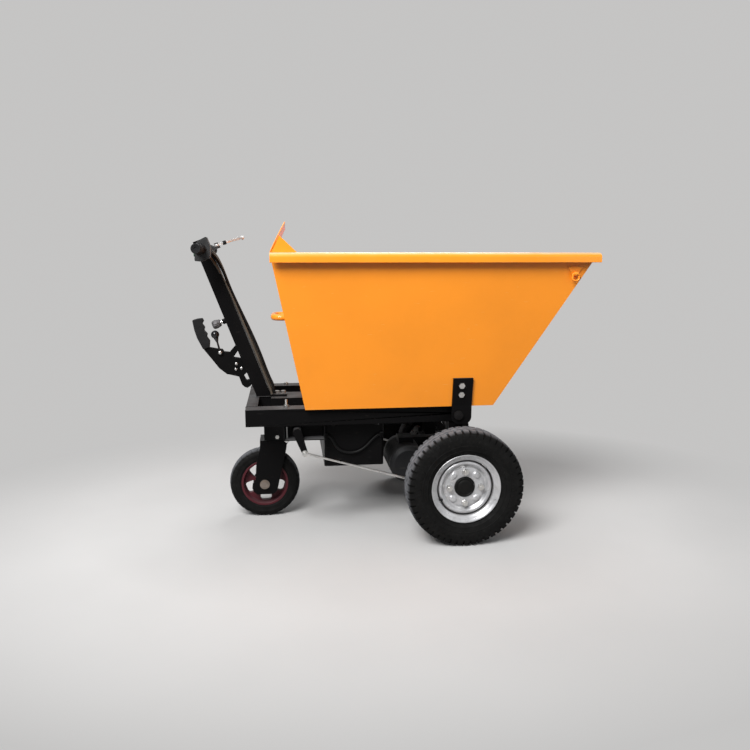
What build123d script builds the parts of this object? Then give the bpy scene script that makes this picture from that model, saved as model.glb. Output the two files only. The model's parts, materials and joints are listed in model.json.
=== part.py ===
from build123d import *
from math import cos, hypot, pi, radians, sin
import os

# Electric dump cart: a bin that tips over the drive axle, on a tube frame with a castor under the
# handle end. Millimetres, +Z up, +X towards the end that the bin dumps over, +Y on the left of a
# person who walks behind the handlebar. The origin is on the ground under the middle of the cart.

os.makedirs("parts", exist_ok=True)

# Drive wheels
AXLE_X = 245.0
TYRE_R = 203.0
TYRE_WIDTH = 104.0
TRACK_HALF = 360.0
RIM_FLANGE_R = 120.0
RIM_SEAT_R = 101.6
RIM_HALF = 41.0
SHOULDER_LUGS = 50
WHEEL_NUTS = 4
NUT_CIRCLE_R = 55.0

# Castor
CASTOR_R = 132.0
CASTOR_WIDTH = 70.0
CASTOR_X = AXLE_X - 687.0
SWIVEL_X = AXLE_X - 645.0
CASTOR_SPOKES = 5
KING_PIN_R = 12.0
CROWN_Z = 302.0

# Frame of square tube
TUBE = 60.0
TUBE_WALL = 4.0
REAR_TUBE = 40.0
SLEEVE_WALL = 7.0
DECK_Z = 465.0
FRAME_HALF = 255.0
FRAME_REAR_X = AXLE_X - 739.0
BEAM_HALF = 60.0
BEAM_REAR_X = AXLE_X - 655.0
FRONT_TUBE_X = AXLE_X - 110.0
PEDESTAL_Z = 306.0
POST_WIDTH = 50.0
POST_X = AXLE_X - 5.0
HANGER_Z = 351.0
STUD_X = AXLE_X - 600.0
STUD_Y = 222.0
STUD_R = 4.5
STUD_NUT = (15.0, 8.0)

# Tipping hinge
PIVOT_X = AXLE_X - 6.0
HINGE_PIN_R = 10.0
HINGE_PLATE_WIDTH = 70.0
HINGE_PLATE_X = AXLE_X + 6.0
HINGE_PLATE_T = 8.0
HINGE_PLATE_TOP = 568.0
HINGE_BOLT_ZS = (510.0, 542.0)

# Bin of welded sheet
SHEET = 3.0
FRONT_SHEET = 3.5
REST_GAP = 0.5
BIN_TOP_Z = 992.0
BIN_REAR_X = AXLE_X - 536.0
BIN_FRONT_X = AXLE_X + 120.0
BIN_HALF = 280.0
REAR_LEAN = 0.2009
FRONT_LEAN = 0.6135
SIDE_LEAN = 0.156
LIP_DEPTH = 32.0
LIP_HALF = 385.0
SPLASH_LEAN = 0.5
SPLASH_HEIGHT = 96.0
HANDLE_X = AXLE_X - 638.0
HANDLE_Z = 762.0
HANDLE_R = 12.0
HANDLE_HALF = 55.0
HANDLE_BEND = 28.0

# Steering column and handlebar
COLUMN = 50.0
COLUMN_WALL = 3.0
COLUMN_LEAN = 0.370
COLUMN_X = AXLE_X - 681.5
FOOT_T = 8.0
COLUMN_TOP_Z = 1035.0
BAR_X = AXLE_X - 877.0
BAR_Z = 1004.0
BAR_R = 11.0
BAR_WALL = 2.0
BAR_HALF = 272.0
GRIP_R = 16.5

# Brake linkage
SHAFT_X = AXLE_X - 564.0
SHAFT_Z = 382.0
SHAFT_R = 9.0
ARM_END_X = AXLE_X - 539.0
ARM_END_Z = 310.0
CAM_X = AXLE_X - 45.0
CAM_Z = 251.0
CAM_R = 8.0
ROD_END_X = AXLE_X - 98.0
ROD_END_Z = 182.0
ROD_Y = 268.0
ROD_R = 4.0

# Battery and drive
BOX_REAR_X = AXLE_X - 468.0
BOX_FRONT_X = AXLE_X - 255.0
BOX_HALF = 190.0
BOX_Z = 238.0
BOX_WALL = 3.0
MOTOR_X = AXLE_X - 152.0
MOTOR_Z = 215.0
MOTOR_R = 70.0
AXLE_TUBE_R = 30.0
DRUM_R = 94.0
DRUM_BORE_R = 80.0
HALF_SHAFT_R = 14.0

# Fits and fasteners; a head is its width across flats and its height
RUN = 0.05
HOLD = 0.15
BOLT_R = 5.0
BOLT_HOLE_R = 5.2
BOLT_HEAD = (17.0, 7.0)

# Places worked out from the sizes above
AXLE_Z = TYRE_R
RAIL_INNER = FRAME_HALF - TUBE
RAIL_MID = FRAME_HALF - TUBE / 2
FRAME_Z = DECK_Z - TUBE
PIVOT_Z = DECK_Z - TUBE / 2
BIN_Z = DECK_Z + REST_GAP
FLOOR_Z = BIN_Z + SHEET
WALL_TOP_Z = BIN_TOP_Z - SHEET
AXLE_AXIS = Axis((AXLE_X, 0, AXLE_Z), (0, 1, 0))
AXLE_SECTION = Plane(origin=(AXLE_X, 0, AXLE_Z), x_dir=(0, 1, 0), z_dir=(1, 0, 0))
CASTOR_AXIS = Axis((CASTOR_X, 0, CASTOR_R), (0, 1, 0))
CASTOR_SECTION = Plane(origin=(CASTOR_X, 0, CASTOR_R), x_dir=(0, 1, 0), z_dir=(1, 0, 0))
MOTOR_AXIS = Axis((MOTOR_X, 0, MOTOR_Z), (0, 1, 0))
MOTOR_SECTION = Plane(origin=(MOTOR_X, 0, MOTOR_Z), x_dir=(0, 1, 0), z_dir=(1, 0, 0))
LEAN_SCALE = hypot(COLUMN_LEAN, 1.0)
COLUMN_DIR = (-COLUMN_LEAN / LEAN_SCALE, 0, 1 / LEAN_SCALE)
COLUMN_FACE_DIR = (1 / LEAN_SCALE, 0, COLUMN_LEAN / LEAN_SCALE)


def rear_x(z):
    """X of the rear wall's outer face at a height."""
    return BIN_REAR_X - REAR_LEAN * (z - BIN_Z)


def front_x(z):
    """X of the front wall's outer face at a height."""
    return BIN_FRONT_X + FRONT_LEAN * (z - BIN_Z)


def side_y(z):
    """Half width of the bin over its side walls at a height."""
    return BIN_HALF + SIDE_LEAN * (z - BIN_Z)


def column_x(z):
    """X of the column's centre line at a height."""
    return COLUMN_X - COLUMN_LEAN * (z - DECK_Z)


def column_rear_x(z):
    """X of the column's rear face at a height."""
    return column_x(z) - COLUMN / 2 * LEAN_SCALE


def xz_plane(y):
    """Plane at a given Y whose sketch axes are X and Z, facing -Y."""
    return Plane.XZ.offset(-y)


def outline(plane, points):
    """Closed face with straight sides on a plane."""
    with BuildSketch(plane) as face:
        with BuildLine():
            Polyline(*points, close=True)
        make_face()
    return face.sketch


def disc(plane, x, y, radius):
    """Round face on a plane."""
    with BuildSketch(plane) as face:
        with Locations((x, y)):
            Circle(radius)
    return face.sketch


def plate(points, y_from, y_to, mode=Mode.ADD):
    """Flat plate with an X, Z outline between two Y places, in the open part."""
    extrude(outline(xz_plane(y_from), points), amount=y_from - y_to, mode=mode)


def bar_y(x, z, radius, y_from, y_to, mode=Mode.ADD):
    """Round bar along Y, in the open part."""
    extrude(disc(xz_plane(y_from), x, z, radius), amount=y_from - y_to, mode=mode)


def bar_z(x, y, radius, z_from, z_to, mode=Mode.ADD):
    """Upright round bar, in the open part."""
    extrude(disc(Plane.XY.offset(z_from), x, y, radius), amount=z_to - z_from, mode=mode)


def block(x_span, y_span, z_span, mode=Mode.ADD):
    """Box between pairs of X, Y and Z places, in the open part."""
    middle = [(span[0] + span[1]) / 2 for span in (x_span, y_span, z_span)]
    sizes = [abs(span[1] - span[0]) for span in (x_span, y_span, z_span)]
    with Locations(tuple(middle)):
        Box(*sizes, mode=mode)


def turned(section, points, axis, mode=Mode.ADD):
    """Solid turned from an outline on a section plane, in the open part."""
    revolve(outline(section, points), axis=axis, mode=mode)


def hex_bar(plane, x, y, across_flats, length):
    """Hexagon head or nut standing on a plane, in the open part."""
    with BuildSketch(plane) as face:
        with Locations((x, y)):
            RegularPolygon(across_flats / 2, 6, major_radius=False)
    extrude(face.sketch, amount=length)


# Side rails, closed round the hinge pin at the front
with BuildPart() as right_rail:
    with BuildSketch(xz_plane(-RAIL_INNER)):
        with Locations(((FRAME_REAR_X + PIVOT_X) / 2, PIVOT_Z)):
            Rectangle(PIVOT_X - FRAME_REAR_X, TUBE)
        with Locations((PIVOT_X, PIVOT_Z)):
            Circle(TUBE / 2)
    extrude(amount=TUBE)
    with BuildSketch(xz_plane(-RAIL_INNER - TUBE_WALL)):
        with Locations(((FRAME_REAR_X + TUBE_WALL + PIVOT_X) / 2, PIVOT_Z)):
            Rectangle(PIVOT_X - FRAME_REAR_X - TUBE_WALL, TUBE - 2 * TUBE_WALL)
        with Locations((PIVOT_X, PIVOT_Z)):
            Circle(TUBE / 2 - TUBE_WALL)
    extrude(amount=TUBE - 2 * TUBE_WALL, mode=Mode.SUBTRACT)
    bar_y(PIVOT_X, PIVOT_Z, HINGE_PIN_R + SLEEVE_WALL, -FRAME_HALF, -RAIL_INNER)
    bar_y(PIVOT_X, PIVOT_Z, HINGE_PIN_R + RUN, -FRAME_HALF, -RAIL_INNER, Mode.SUBTRACT)
    bar_z(STUD_X, -STUD_Y, STUD_R + HOLD, FRAME_Z, DECK_Z, Mode.SUBTRACT)
right_rail.part.label = "right_rail"
export_step(right_rail.part, "parts/right_rail.step")

with BuildPart() as left_rail:
    mirror(right_rail.part, about=Plane.XZ)
left_rail.part.label = "left_rail"
export_step(left_rail.part, "parts/left_rail.step")

# Wide centre beam between the cross tubes, narrowed to the column's width under the column
with BuildPart() as centre_beam:
    inside_z = (FRAME_Z + TUBE_WALL, DECK_Z - TUBE_WALL)
    beam_inside = BEAM_HALF - TUBE_WALL
    block((BEAM_REAR_X, FRONT_TUBE_X), (-BEAM_HALF, BEAM_HALF), (FRAME_Z, DECK_Z))
    block((BEAM_REAR_X + TUBE_WALL, FRONT_TUBE_X), (-beam_inside, beam_inside), inside_z, Mode.SUBTRACT)
    stub_x = (FRAME_REAR_X + REAR_TUBE, BEAM_REAR_X)
    stub_inside = COLUMN / 2 - TUBE_WALL
    block(stub_x, (-COLUMN / 2, COLUMN / 2), (FRAME_Z, DECK_Z))
    block(stub_x, (-stub_inside, stub_inside), inside_z, Mode.SUBTRACT)
    block(stub_x, (-BEAM_HALF, BEAM_HALF), (FRAME_Z, FRAME_Z + TUBE_WALL))
centre_beam.part.label = "centre_beam"
export_step(centre_beam.part, "parts/centre_beam.step")

# Cross tubes, axle posts and brake shaft hangers, each a solid of its own
HANGER_SPAN = (STUD_X - 10, AXLE_X - 467)
HANGER_Y = (205.0, 250.0)
SADDLE_T = 10.0
SADDLE_Z = AXLE_Z + AXLE_TUBE_R
SADDLE_HALF_X = 44.0
SADDLE_HALF_Y = 45.0
CLAMP_HALF = 35.5
CLAMP_SPREAD = 37.0
with BuildPart() as cross_members:
    for tube_x, width in ((FRAME_REAR_X, REAR_TUBE), (FRONT_TUBE_X, TUBE)):
        block((tube_x, tube_x + width), (-RAIL_INNER, RAIL_INNER), (FRAME_Z, DECK_Z))
        inside_x = (tube_x + TUBE_WALL, tube_x + width - TUBE_WALL)
        inside_z = (FRAME_Z + TUBE_WALL, DECK_Z - TUBE_WALL)
        block(inside_x, (-RAIL_INNER, RAIL_INNER), inside_z, Mode.SUBTRACT)
    for side in (-1, 1):
        post_x = (POST_X - POST_WIDTH / 2, POST_X + POST_WIDTH / 2)
        post_y = (side * (RAIL_MID - POST_WIDTH / 2), side * (RAIL_MID + POST_WIDTH / 2))
        block(post_x, post_y, (SADDLE_Z + SADDLE_T, FRAME_Z))
        bore_x = (post_x[0] + TUBE_WALL, post_x[1] - TUBE_WALL)
        bore_y = (post_y[0] + side * TUBE_WALL, post_y[1] - side * TUBE_WALL)
        block(bore_x, bore_y, (SADDLE_Z + SADDLE_T, FRAME_Z), Mode.SUBTRACT)
        saddle_x = (AXLE_X - SADDLE_HALF_X, AXLE_X + SADDLE_HALF_X)
        saddle_y = (side * (RAIL_MID - SADDLE_HALF_Y), side * (RAIL_MID + SADDLE_HALF_Y))
        block(saddle_x, saddle_y, (SADDLE_Z, SADDLE_Z + SADDLE_T))
        hanger_y = (side * HANGER_Y[0], side * HANGER_Y[1])
        block(HANGER_SPAN, hanger_y, (HANGER_Z, FRAME_Z))
        hollow_x = (HANGER_SPAN[0] + TUBE_WALL, HANGER_SPAN[1] - TUBE_WALL)
        hollow_y = (hanger_y[0] + side * TUBE_WALL, hanger_y[1])
        block(hollow_x, hollow_y, (HANGER_Z + TUBE_WALL, FRAME_Z - TUBE_WALL), Mode.SUBTRACT)
        bar_y(SHAFT_X, SHAFT_Z, SHAFT_R + SLEEVE_WALL, hanger_y[0], hanger_y[1])
        bar_y(SHAFT_X, SHAFT_Z, SHAFT_R + RUN, hanger_y[0], hanger_y[1], Mode.SUBTRACT)
        bar_z(STUD_X, side * STUD_Y, STUD_R + HOLD, HANGER_Z, FRAME_Z, Mode.SUBTRACT)
        for leg_x in (-1, 1):
            for leg_y in (-1, 1):
                hole_x = AXLE_X + leg_x * CLAMP_HALF
                hole_y = side * RAIL_MID + leg_y * CLAMP_SPREAD
                bar_z(hole_x, hole_y, BOLT_HOLE_R, SADDLE_Z, SADDLE_Z + SADDLE_T, Mode.SUBTRACT)
cross_members.part.label = "cross_members"
export_step(cross_members.part, "parts/cross_members.step")

# Castor pedestal: a welded box with the king pin's sleeve in it
PEDESTAL_X = (AXLE_X - 684.0, AXLE_X - 598.0)
PEDESTAL_WALL = 6.0
KING_SLEEVE_R = KING_PIN_R + 10.0
with BuildPart() as castor_pedestal:
    block(PEDESTAL_X, (-BEAM_HALF, BEAM_HALF), (PEDESTAL_Z, FRAME_Z))
    hollow_x = (PEDESTAL_X[0] + PEDESTAL_WALL, PEDESTAL_X[1] - PEDESTAL_WALL)
    hollow_y = (-BEAM_HALF + PEDESTAL_WALL, BEAM_HALF - PEDESTAL_WALL)
    block(hollow_x, hollow_y, (PEDESTAL_Z + 2 * PEDESTAL_WALL, FRAME_Z), Mode.SUBTRACT)
    bar_z(SWIVEL_X, 0, KING_SLEEVE_R, PEDESTAL_Z, FRAME_Z)
    bar_z(SWIVEL_X, 0, KING_PIN_R + RUN, PEDESTAL_Z, FRAME_Z, Mode.SUBTRACT)
castor_pedestal.part.label = "castor_pedestal"
export_step(castor_pedestal.part, "parts/castor_pedestal.step")

# Leaning column with a foot plate in front of it and the boss of the speed selector
FOOT_X = (BEAM_REAR_X - 4.0, AXLE_X - 597.0)
FOOT_TOP_Z = DECK_Z + FOOT_T
FOOT_BOLT_XS = (AXLE_X - 634.0, AXLE_X - 611.0)
FOOT_BOLT_Y = 12.0
COLUMN_START = Plane(origin=(column_x(FRAME_Z), 0, FRAME_Z), x_dir=COLUMN_FACE_DIR, z_dir=COLUMN_DIR)
SELECTOR_Z = 748.0
SELECTOR_BOSS = Plane(
    origin=(column_rear_x(SELECTOR_Z), 0, SELECTOR_Z),
    x_dir=COLUMN_DIR,
    z_dir=(-COLUMN_FACE_DIR[0], 0, -COLUMN_FACE_DIR[2]),
)
SELECTOR_STEM_R = 5.0
SELECTOR_BOSS_R = 10.0
SELECTOR_BOSS_LENGTH = 12.0
with BuildPart() as column:
    with BuildSketch(COLUMN_START):
        Rectangle(COLUMN, COLUMN)
        Rectangle(COLUMN - 2 * COLUMN_WALL, COLUMN - 2 * COLUMN_WALL, mode=Mode.SUBTRACT)
    extrude(amount=(COLUMN_TOP_Z - FRAME_Z) * LEAN_SCALE)
    with BuildSketch(COLUMN_START.offset((COLUMN_TOP_Z - FRAME_Z) * LEAN_SCALE)):
        Rectangle(COLUMN, COLUMN)
    extrude(amount=COLUMN_WALL)
    split(bisect_by=Plane.XY.offset(DECK_Z), keep=Keep.TOP)
    block(FOOT_X, (-COLUMN / 2, COLUMN / 2), (DECK_Z, FOOT_TOP_Z))
    for bolt_x in FOOT_BOLT_XS:
        bar_z(bolt_x, FOOT_BOLT_Y, BOLT_HOLE_R, DECK_Z, FOOT_TOP_Z, Mode.SUBTRACT)
    bar_y(BAR_X, BAR_Z, BAR_R + HOLD, -COLUMN, COLUMN, Mode.SUBTRACT)
    extrude(disc(SELECTOR_BOSS, 0, 0, SELECTOR_BOSS_R), amount=SELECTOR_BOSS_LENGTH)
    extrude(
        disc(SELECTOR_BOSS, 0, 0, SELECTOR_STEM_R + RUN),
        amount=SELECTOR_BOSS_LENGTH,
        mode=Mode.SUBTRACT,
    )
column.part.label = "column"
export_step(column.part, "parts/column.step")

# Handlebar
with BuildPart() as handlebar:
    bar_y(BAR_X, BAR_Z, BAR_R, -BAR_HALF, BAR_HALF)
    bar_y(BAR_X, BAR_Z, BAR_R - BAR_WALL, -BAR_HALF, BAR_HALF, Mode.SUBTRACT)
handlebar.part.label = "handlebar"
export_step(handlebar.part, "parts/handlebar.step")

BAR_AXIS = Axis((BAR_X, 0, BAR_Z), (0, 1, 0))
BAR_SECTION = Plane(origin=(BAR_X, 0, BAR_Z), x_dir=(0, 1, 0), z_dir=(1, 0, 0))
GRIP_START = 164.0
GRIP_END = BAR_HALF + 5.0
COLLAR_R = GRIP_R + 3.0
RIDGES = 8
RIDGE_PITCH = 11.0


def grip_outline(side, bore_r):
    """Half section of a ribbed grip: collar, waist with ridges, rounded end flange."""
    inner = [(GRIP_START, bore_r), (GRIP_START, COLLAR_R), (GRIP_START + 5, COLLAR_R)]
    ridges = []
    for ridge in range(RIDGES):
        start = GRIP_START + 8 + ridge * RIDGE_PITCH
        ridges += [(start, GRIP_R - 1), (start + 2, GRIP_R), (start + 7, GRIP_R), (start + 9, GRIP_R - 1)]
    end = [(GRIP_END - 6, GRIP_R), (GRIP_END - 4, GRIP_R + 2), (GRIP_END, GRIP_R), (GRIP_END, 0)]
    hollow = [(BAR_HALF + 1, 0), (BAR_HALF + 1, bore_r)]
    return [(side * y, r) for y, r in inner + ridges + end + hollow]


with BuildPart() as left_grip:
    turned(BAR_SECTION, grip_outline(1, BAR_R + HOLD), BAR_AXIS)
left_grip.part.label = "left_grip"
export_step(left_grip.part, "parts/left_grip.step")

with BuildPart() as throttle_grip:
    turned(BAR_SECTION, grip_outline(-1, BAR_R + RUN), BAR_AXIS)
throttle_grip.part.label = "throttle_grip"
export_step(throttle_grip.part, "parts/throttle_grip.step")

# Switch and throttle housing on the right of the bar, with the pocket of the horn button
HOUSING_Y = (-158.0, -118.0)
HORN_Y = -138.0
HORN_Z = 985.0
HORN_R = 6.0
HORN_PLANE = Plane(origin=(BAR_X - 24, HORN_Y, HORN_Z), x_dir=(0, 1, 0), z_dir=(1, 0, 0))
HORN_POCKET = 12.0
HORN_LENGTH = 8.0
HOUSING_ROUND = 4.0
HOUSING_OUTLINE = [
    (BAR_X - 19, BAR_Z + 3),
    (BAR_X - 9, BAR_Z + 26),
    (BAR_X + 21, BAR_Z + 42),
    (BAR_X + 33, BAR_Z + 10),
    (BAR_X + 31, BAR_Z - 30),
    (BAR_X + 2, BAR_Z - 42),
    (BAR_X - 20, BAR_Z - 40),
    (BAR_X - 19, BAR_Z - 22),
]
with BuildPart() as switch_housing:
    plate(HOUSING_OUTLINE, HOUSING_Y[0], HOUSING_Y[1])
    fillet(switch_housing.edges().filter_by(Axis.Y), HOUSING_ROUND)
    bar_y(BAR_X, BAR_Z, BAR_R + HOLD, HOUSING_Y[0], HOUSING_Y[1], Mode.SUBTRACT)
    extrude(disc(HORN_PLANE, 0, 0, HORN_R + RUN), amount=HORN_POCKET, mode=Mode.SUBTRACT)
switch_housing.part.label = "switch_housing"
export_step(switch_housing.part, "parts/switch_housing.step")

with BuildPart() as horn_button:
    extrude(disc(HORN_PLANE, 0, 0, HORN_R), amount=HORN_LENGTH)
    chamfer(horn_button.edges().group_by(Axis.X)[0], 1)
horn_button.part.label = "horn_button"
export_step(horn_button.part, "parts/horn_button.step")

# Brake lever and its perch on the left of the bar
LEVER_RISE = radians(18)
LEVER_Y = 146.0
LEVER_T = 8.0
LEVER_PIVOT_X = 28.0
LEVER_PIVOT = (BAR_X + LEVER_PIVOT_X, LEVER_Y, BAR_Z + 14)
LEVER_PLANE = Plane(
    origin=LEVER_PIVOT,
    x_dir=(cos(LEVER_RISE), 0, sin(LEVER_RISE)),
    z_dir=(-sin(LEVER_RISE), 0, cos(LEVER_RISE)),
)
LEVER_PIN_R = 4.0
LEVER_EYE_R = 10.0
LEVER_WIDTH = 11.0
LEVER_KNEE = (40.0, 6.0)
LEVER_TIP = (96.0, 84.0)
LEVER_BEND = 45.0
LEVER_BALL_R = 8.0
PERCH_HALF = 13.0
PERCH_R = BAR_R + 7.0
PERCH_EAR_R = 11.0
PERCH_EAR_T = 8.0
LEVER_GAP = 1.0
PIN_HEAD_T = 4.0
with BuildPart() as brake_perch:
    ear_plane = LEVER_PLANE.offset(-PERCH_EAR_T - LEVER_GAP)
    head_plane = LEVER_PLANE.offset(LEVER_T + LEVER_GAP / 2)
    bar_y(BAR_X, BAR_Z, PERCH_R, LEVER_Y - PERCH_HALF, LEVER_Y + PERCH_HALF)
    with BuildSketch(ear_plane):
        with Locations((LEVER_PIVOT_X / -2, 0)):
            Rectangle(LEVER_PIVOT_X, 2 * PERCH_EAR_R)
        Circle(PERCH_EAR_R)
    extrude(amount=PERCH_EAR_T)
    bar_y(BAR_X, BAR_Z, BAR_R + HOLD, LEVER_Y - PERCH_HALF, LEVER_Y + PERCH_HALF, Mode.SUBTRACT)
    extrude(disc(ear_plane, 0, 0, LEVER_PIN_R), amount=PERCH_EAR_T + 2 * LEVER_GAP + LEVER_T)
    extrude(disc(head_plane, 0, 0, 2 * LEVER_PIN_R), amount=PIN_HEAD_T)
brake_perch.part.label = "brake_perch"
export_step(brake_perch.part, "parts/brake_perch.step")

with BuildPart() as hand_brake_lever:
    with BuildSketch(LEVER_PLANE):
        with BuildLine():
            FilletPolyline((0, 0), LEVER_KNEE, LEVER_TIP, radius=LEVER_BEND)
        trace(line_width=LEVER_WIDTH)
        Circle(LEVER_EYE_R)
        Circle(LEVER_PIN_R + RUN, mode=Mode.SUBTRACT)
    extrude(amount=LEVER_T)
    with Locations(LEVER_PLANE.offset(LEVER_T / 2) * Location((*LEVER_TIP, 0))):
        Sphere(LEVER_BALL_R)
hand_brake_lever.part.label = "hand_brake_lever"
export_step(hand_brake_lever.part, "parts/hand_brake_lever.step")

# Parking brake on the rear face of the column: two cheeks with the pivot pin between them
PARK_X = AXLE_X - 779.0
PARK_Z = 578.0
PARK_PIN_R = 6.0
PARK_HALF = 5.0
CHEEK_Y = (6.0, 10.0)
CHEEK_OUTLINE = [
    (column_rear_x(PARK_Z + 81), PARK_Z + 81),
    (column_rear_x(PARK_Z - 66), PARK_Z - 66),
    (PARK_X + 50, PARK_Z - 72),
    (PARK_X + 37, PARK_Z - 81),
    (PARK_X + 26, PARK_Z - 77),
    (PARK_X + 17, PARK_Z - 68),
    (PARK_X + 7, PARK_Z - 38),
    (PARK_X - 12, PARK_Z - 33),
    (PARK_X - 37, PARK_Z - 27),
    (PARK_X - 22, PARK_Z + 8),
    (PARK_X - 16, PARK_Z + 36),
    (PARK_X - 23, PARK_Z + 56),
]
UPPER_GAP = [
    (PARK_X - 11, PARK_Z + 35),
    (column_rear_x(PARK_Z + 60), PARK_Z + 60),
    (column_rear_x(PARK_Z + 30), PARK_Z + 30),
]
LOWER_GAP = [
    (column_rear_x(PARK_Z - 22), PARK_Z - 22),
    (PARK_X + 24, PARK_Z - 34),
    (PARK_X + 34, PARK_Z - 52),
    (column_rear_x(PARK_Z - 50), PARK_Z - 50),
]
STOP_PIN_R = 5.0
PIVOT_OVERHANG = 4.0
with BuildPart() as ratchet_plate:
    for side in (-1, 1):
        cheek_y = (side * CHEEK_Y[0], side * CHEEK_Y[1])
        plate(CHEEK_OUTLINE, cheek_y[0], cheek_y[1])
        for gap in (UPPER_GAP, LOWER_GAP):
            plate(gap, cheek_y[0], cheek_y[1], Mode.SUBTRACT)
    bar_y(PARK_X, PARK_Z, PARK_PIN_R, -CHEEK_Y[1] - PIVOT_OVERHANG, CHEEK_Y[1] + PIVOT_OVERHANG)
    bar_y(PARK_X + 40, PARK_Z - 66, STOP_PIN_R, -CHEEK_Y[1], CHEEK_Y[1])
ratchet_plate.part.label = "ratchet_plate"
export_step(ratchet_plate.part, "parts/ratchet_plate.step")

RELEASE_X = AXLE_X - 837.0
RELEASE_Z = 632.0
RELEASE_PIN_R = 4.0
RELEASE_PIN_LENGTH = 9.0
RELEASE_PIN_HEAD = (7.0, 2.0)
PARK_LEVER_OUTLINE = [
    (PARK_X - 25, PARK_Z + 55),
    (PARK_X - 15, PARK_Z + 35),
    (PARK_X + 12, PARK_Z + 12),
    (PARK_X + 12, PARK_Z - 8),
    (PARK_X - 10, PARK_Z - 22),
    (PARK_X - 36, PARK_Z - 29),
    (PARK_X - 64, PARK_Z - 6),
    (PARK_X - 92, PARK_Z + 32),
    (PARK_X - 116, PARK_Z + 63),
    (PARK_X - 130, PARK_Z + 102),
    (PARK_X - 138, PARK_Z + 157),
    (PARK_X - 126, PARK_Z + 160),
    (PARK_X - 116, PARK_Z + 112),
    (PARK_X - 98, PARK_Z + 74),
    (PARK_X - 68, PARK_Z + 68),
    (PARK_X - 50, PARK_Z + 66),
    (PARK_X - 44, PARK_Z + 57),
]
with BuildPart() as park_lever:
    plate(PARK_LEVER_OUTLINE, -PARK_HALF, PARK_HALF)
    bar_y(PARK_X, PARK_Z, PARK_PIN_R + RUN, -PARK_HALF, PARK_HALF, Mode.SUBTRACT)
    pin_end = -PARK_HALF - RELEASE_PIN_LENGTH
    bar_y(RELEASE_X, RELEASE_Z, RELEASE_PIN_R, pin_end, -PARK_HALF)
    bar_y(RELEASE_X, RELEASE_Z, RELEASE_PIN_HEAD[0], pin_end - RELEASE_PIN_HEAD[1], pin_end)
park_lever.part.label = "park_lever"
export_step(park_lever.part, "parts/park_lever.step")

# Moulded grip with finger grooves along its front
GRIP_HALF = 13.0
PARK_GRIP_OUTLINE = [
    (PARK_X - 119, PARK_Z + 66),
    (PARK_X - 139, PARK_Z + 107),
    (PARK_X - 148, PARK_Z + 137),
    (PARK_X - 154, PARK_Z + 173),
    (PARK_X - 136, PARK_Z + 178),
    (PARK_X - 118, PARK_Z + 180),
    (PARK_X - 113, PARK_Z + 170),
    (PARK_X - 119, PARK_Z + 160),
    (PARK_X - 110, PARK_Z + 147),
    (PARK_X - 113, PARK_Z + 136),
    (PARK_X - 102, PARK_Z + 123),
    (PARK_X - 104, PARK_Z + 112),
    (PARK_X - 94, PARK_Z + 97),
    (PARK_X - 96, PARK_Z + 73),
]
with BuildPart() as park_grip:
    plate(PARK_GRIP_OUTLINE, -GRIP_HALF, GRIP_HALF)
    fillet(park_grip.edges().filter_by(Axis.Y), 4)
    fillet(park_grip.faces().sort_by(Axis.Y)[0].edges(), 3)
    fillet(park_grip.faces().sort_by(Axis.Y)[-1].edges(), 3)
    plate(PARK_LEVER_OUTLINE, -PARK_HALF, PARK_HALF, Mode.SUBTRACT)
park_grip.part.label = "park_grip"
export_step(park_grip.part, "parts/park_grip.step")

# Release knob: a ball on a stalk that turns on the parking lever
BALL_R = 15.0
BALL_X = AXLE_X - 853.0
BALL_Z = 698.0
STALK_R = 3.5
NECK = (10.0, 28.0)
RELEASE_EYE_R = 9.0
RELEASE_Y = (-PARK_HALF - 8.5, -PARK_HALF - 0.5)
RELEASE_MID = (RELEASE_Y[0] + RELEASE_Y[1]) / 2
STALK_DIR = (BALL_X - RELEASE_X, 0, BALL_Z - RELEASE_Z)
with BuildPart() as release_knob:
    bar_y(RELEASE_X, RELEASE_Z, RELEASE_EYE_R, RELEASE_Y[0], RELEASE_Y[1])
    stalk_plane = Plane(origin=(RELEASE_X, RELEASE_MID, RELEASE_Z), x_dir=(0, 1, 0), z_dir=STALK_DIR)
    extrude(disc(stalk_plane, 0, 0, STALK_R), amount=hypot(STALK_DIR[0], STALK_DIR[2]))
    with Locations((BALL_X, RELEASE_MID, BALL_Z)):
        Sphere(BALL_R)
    neck_start = Plane(origin=(BALL_X, RELEASE_MID, BALL_Z), x_dir=(0, 1, 0), z_dir=[-d for d in STALK_DIR])
    for depth, radius in ((NECK[0], NECK[0]), (NECK[1], STALK_R + 0.5)):
        with BuildSketch(neck_start.offset(depth)):
            Circle(radius)
    loft(ruled=True)
    bar_y(RELEASE_X, RELEASE_Z, RELEASE_PIN_R + RUN, RELEASE_Y[0], RELEASE_Y[1], Mode.SUBTRACT)
release_knob.part.label = "release_knob"
export_step(release_knob.part, "parts/release_knob.step")

# Speed selector: a round knob on a stem that turns in the column's boss
SELECTOR_STEM_SPAN = (2.0, 34.0)
KNOB_STATIONS = ((26.0, 13.0), (38.0, 17.0), (52.0, 14.0))
with BuildPart() as selector_knob:
    stem_start = SELECTOR_BOSS.offset(SELECTOR_STEM_SPAN[0])
    extrude(disc(stem_start, 0, 0, SELECTOR_STEM_R), amount=SELECTOR_STEM_SPAN[1] - SELECTOR_STEM_SPAN[0])
    for height, radius in KNOB_STATIONS:
        with BuildSketch(SELECTOR_BOSS.offset(height)):
            Circle(radius)
    loft(ruled=True)
selector_knob.part.label = "selector_knob"
export_step(selector_knob.part, "parts/selector_knob.step")

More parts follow.
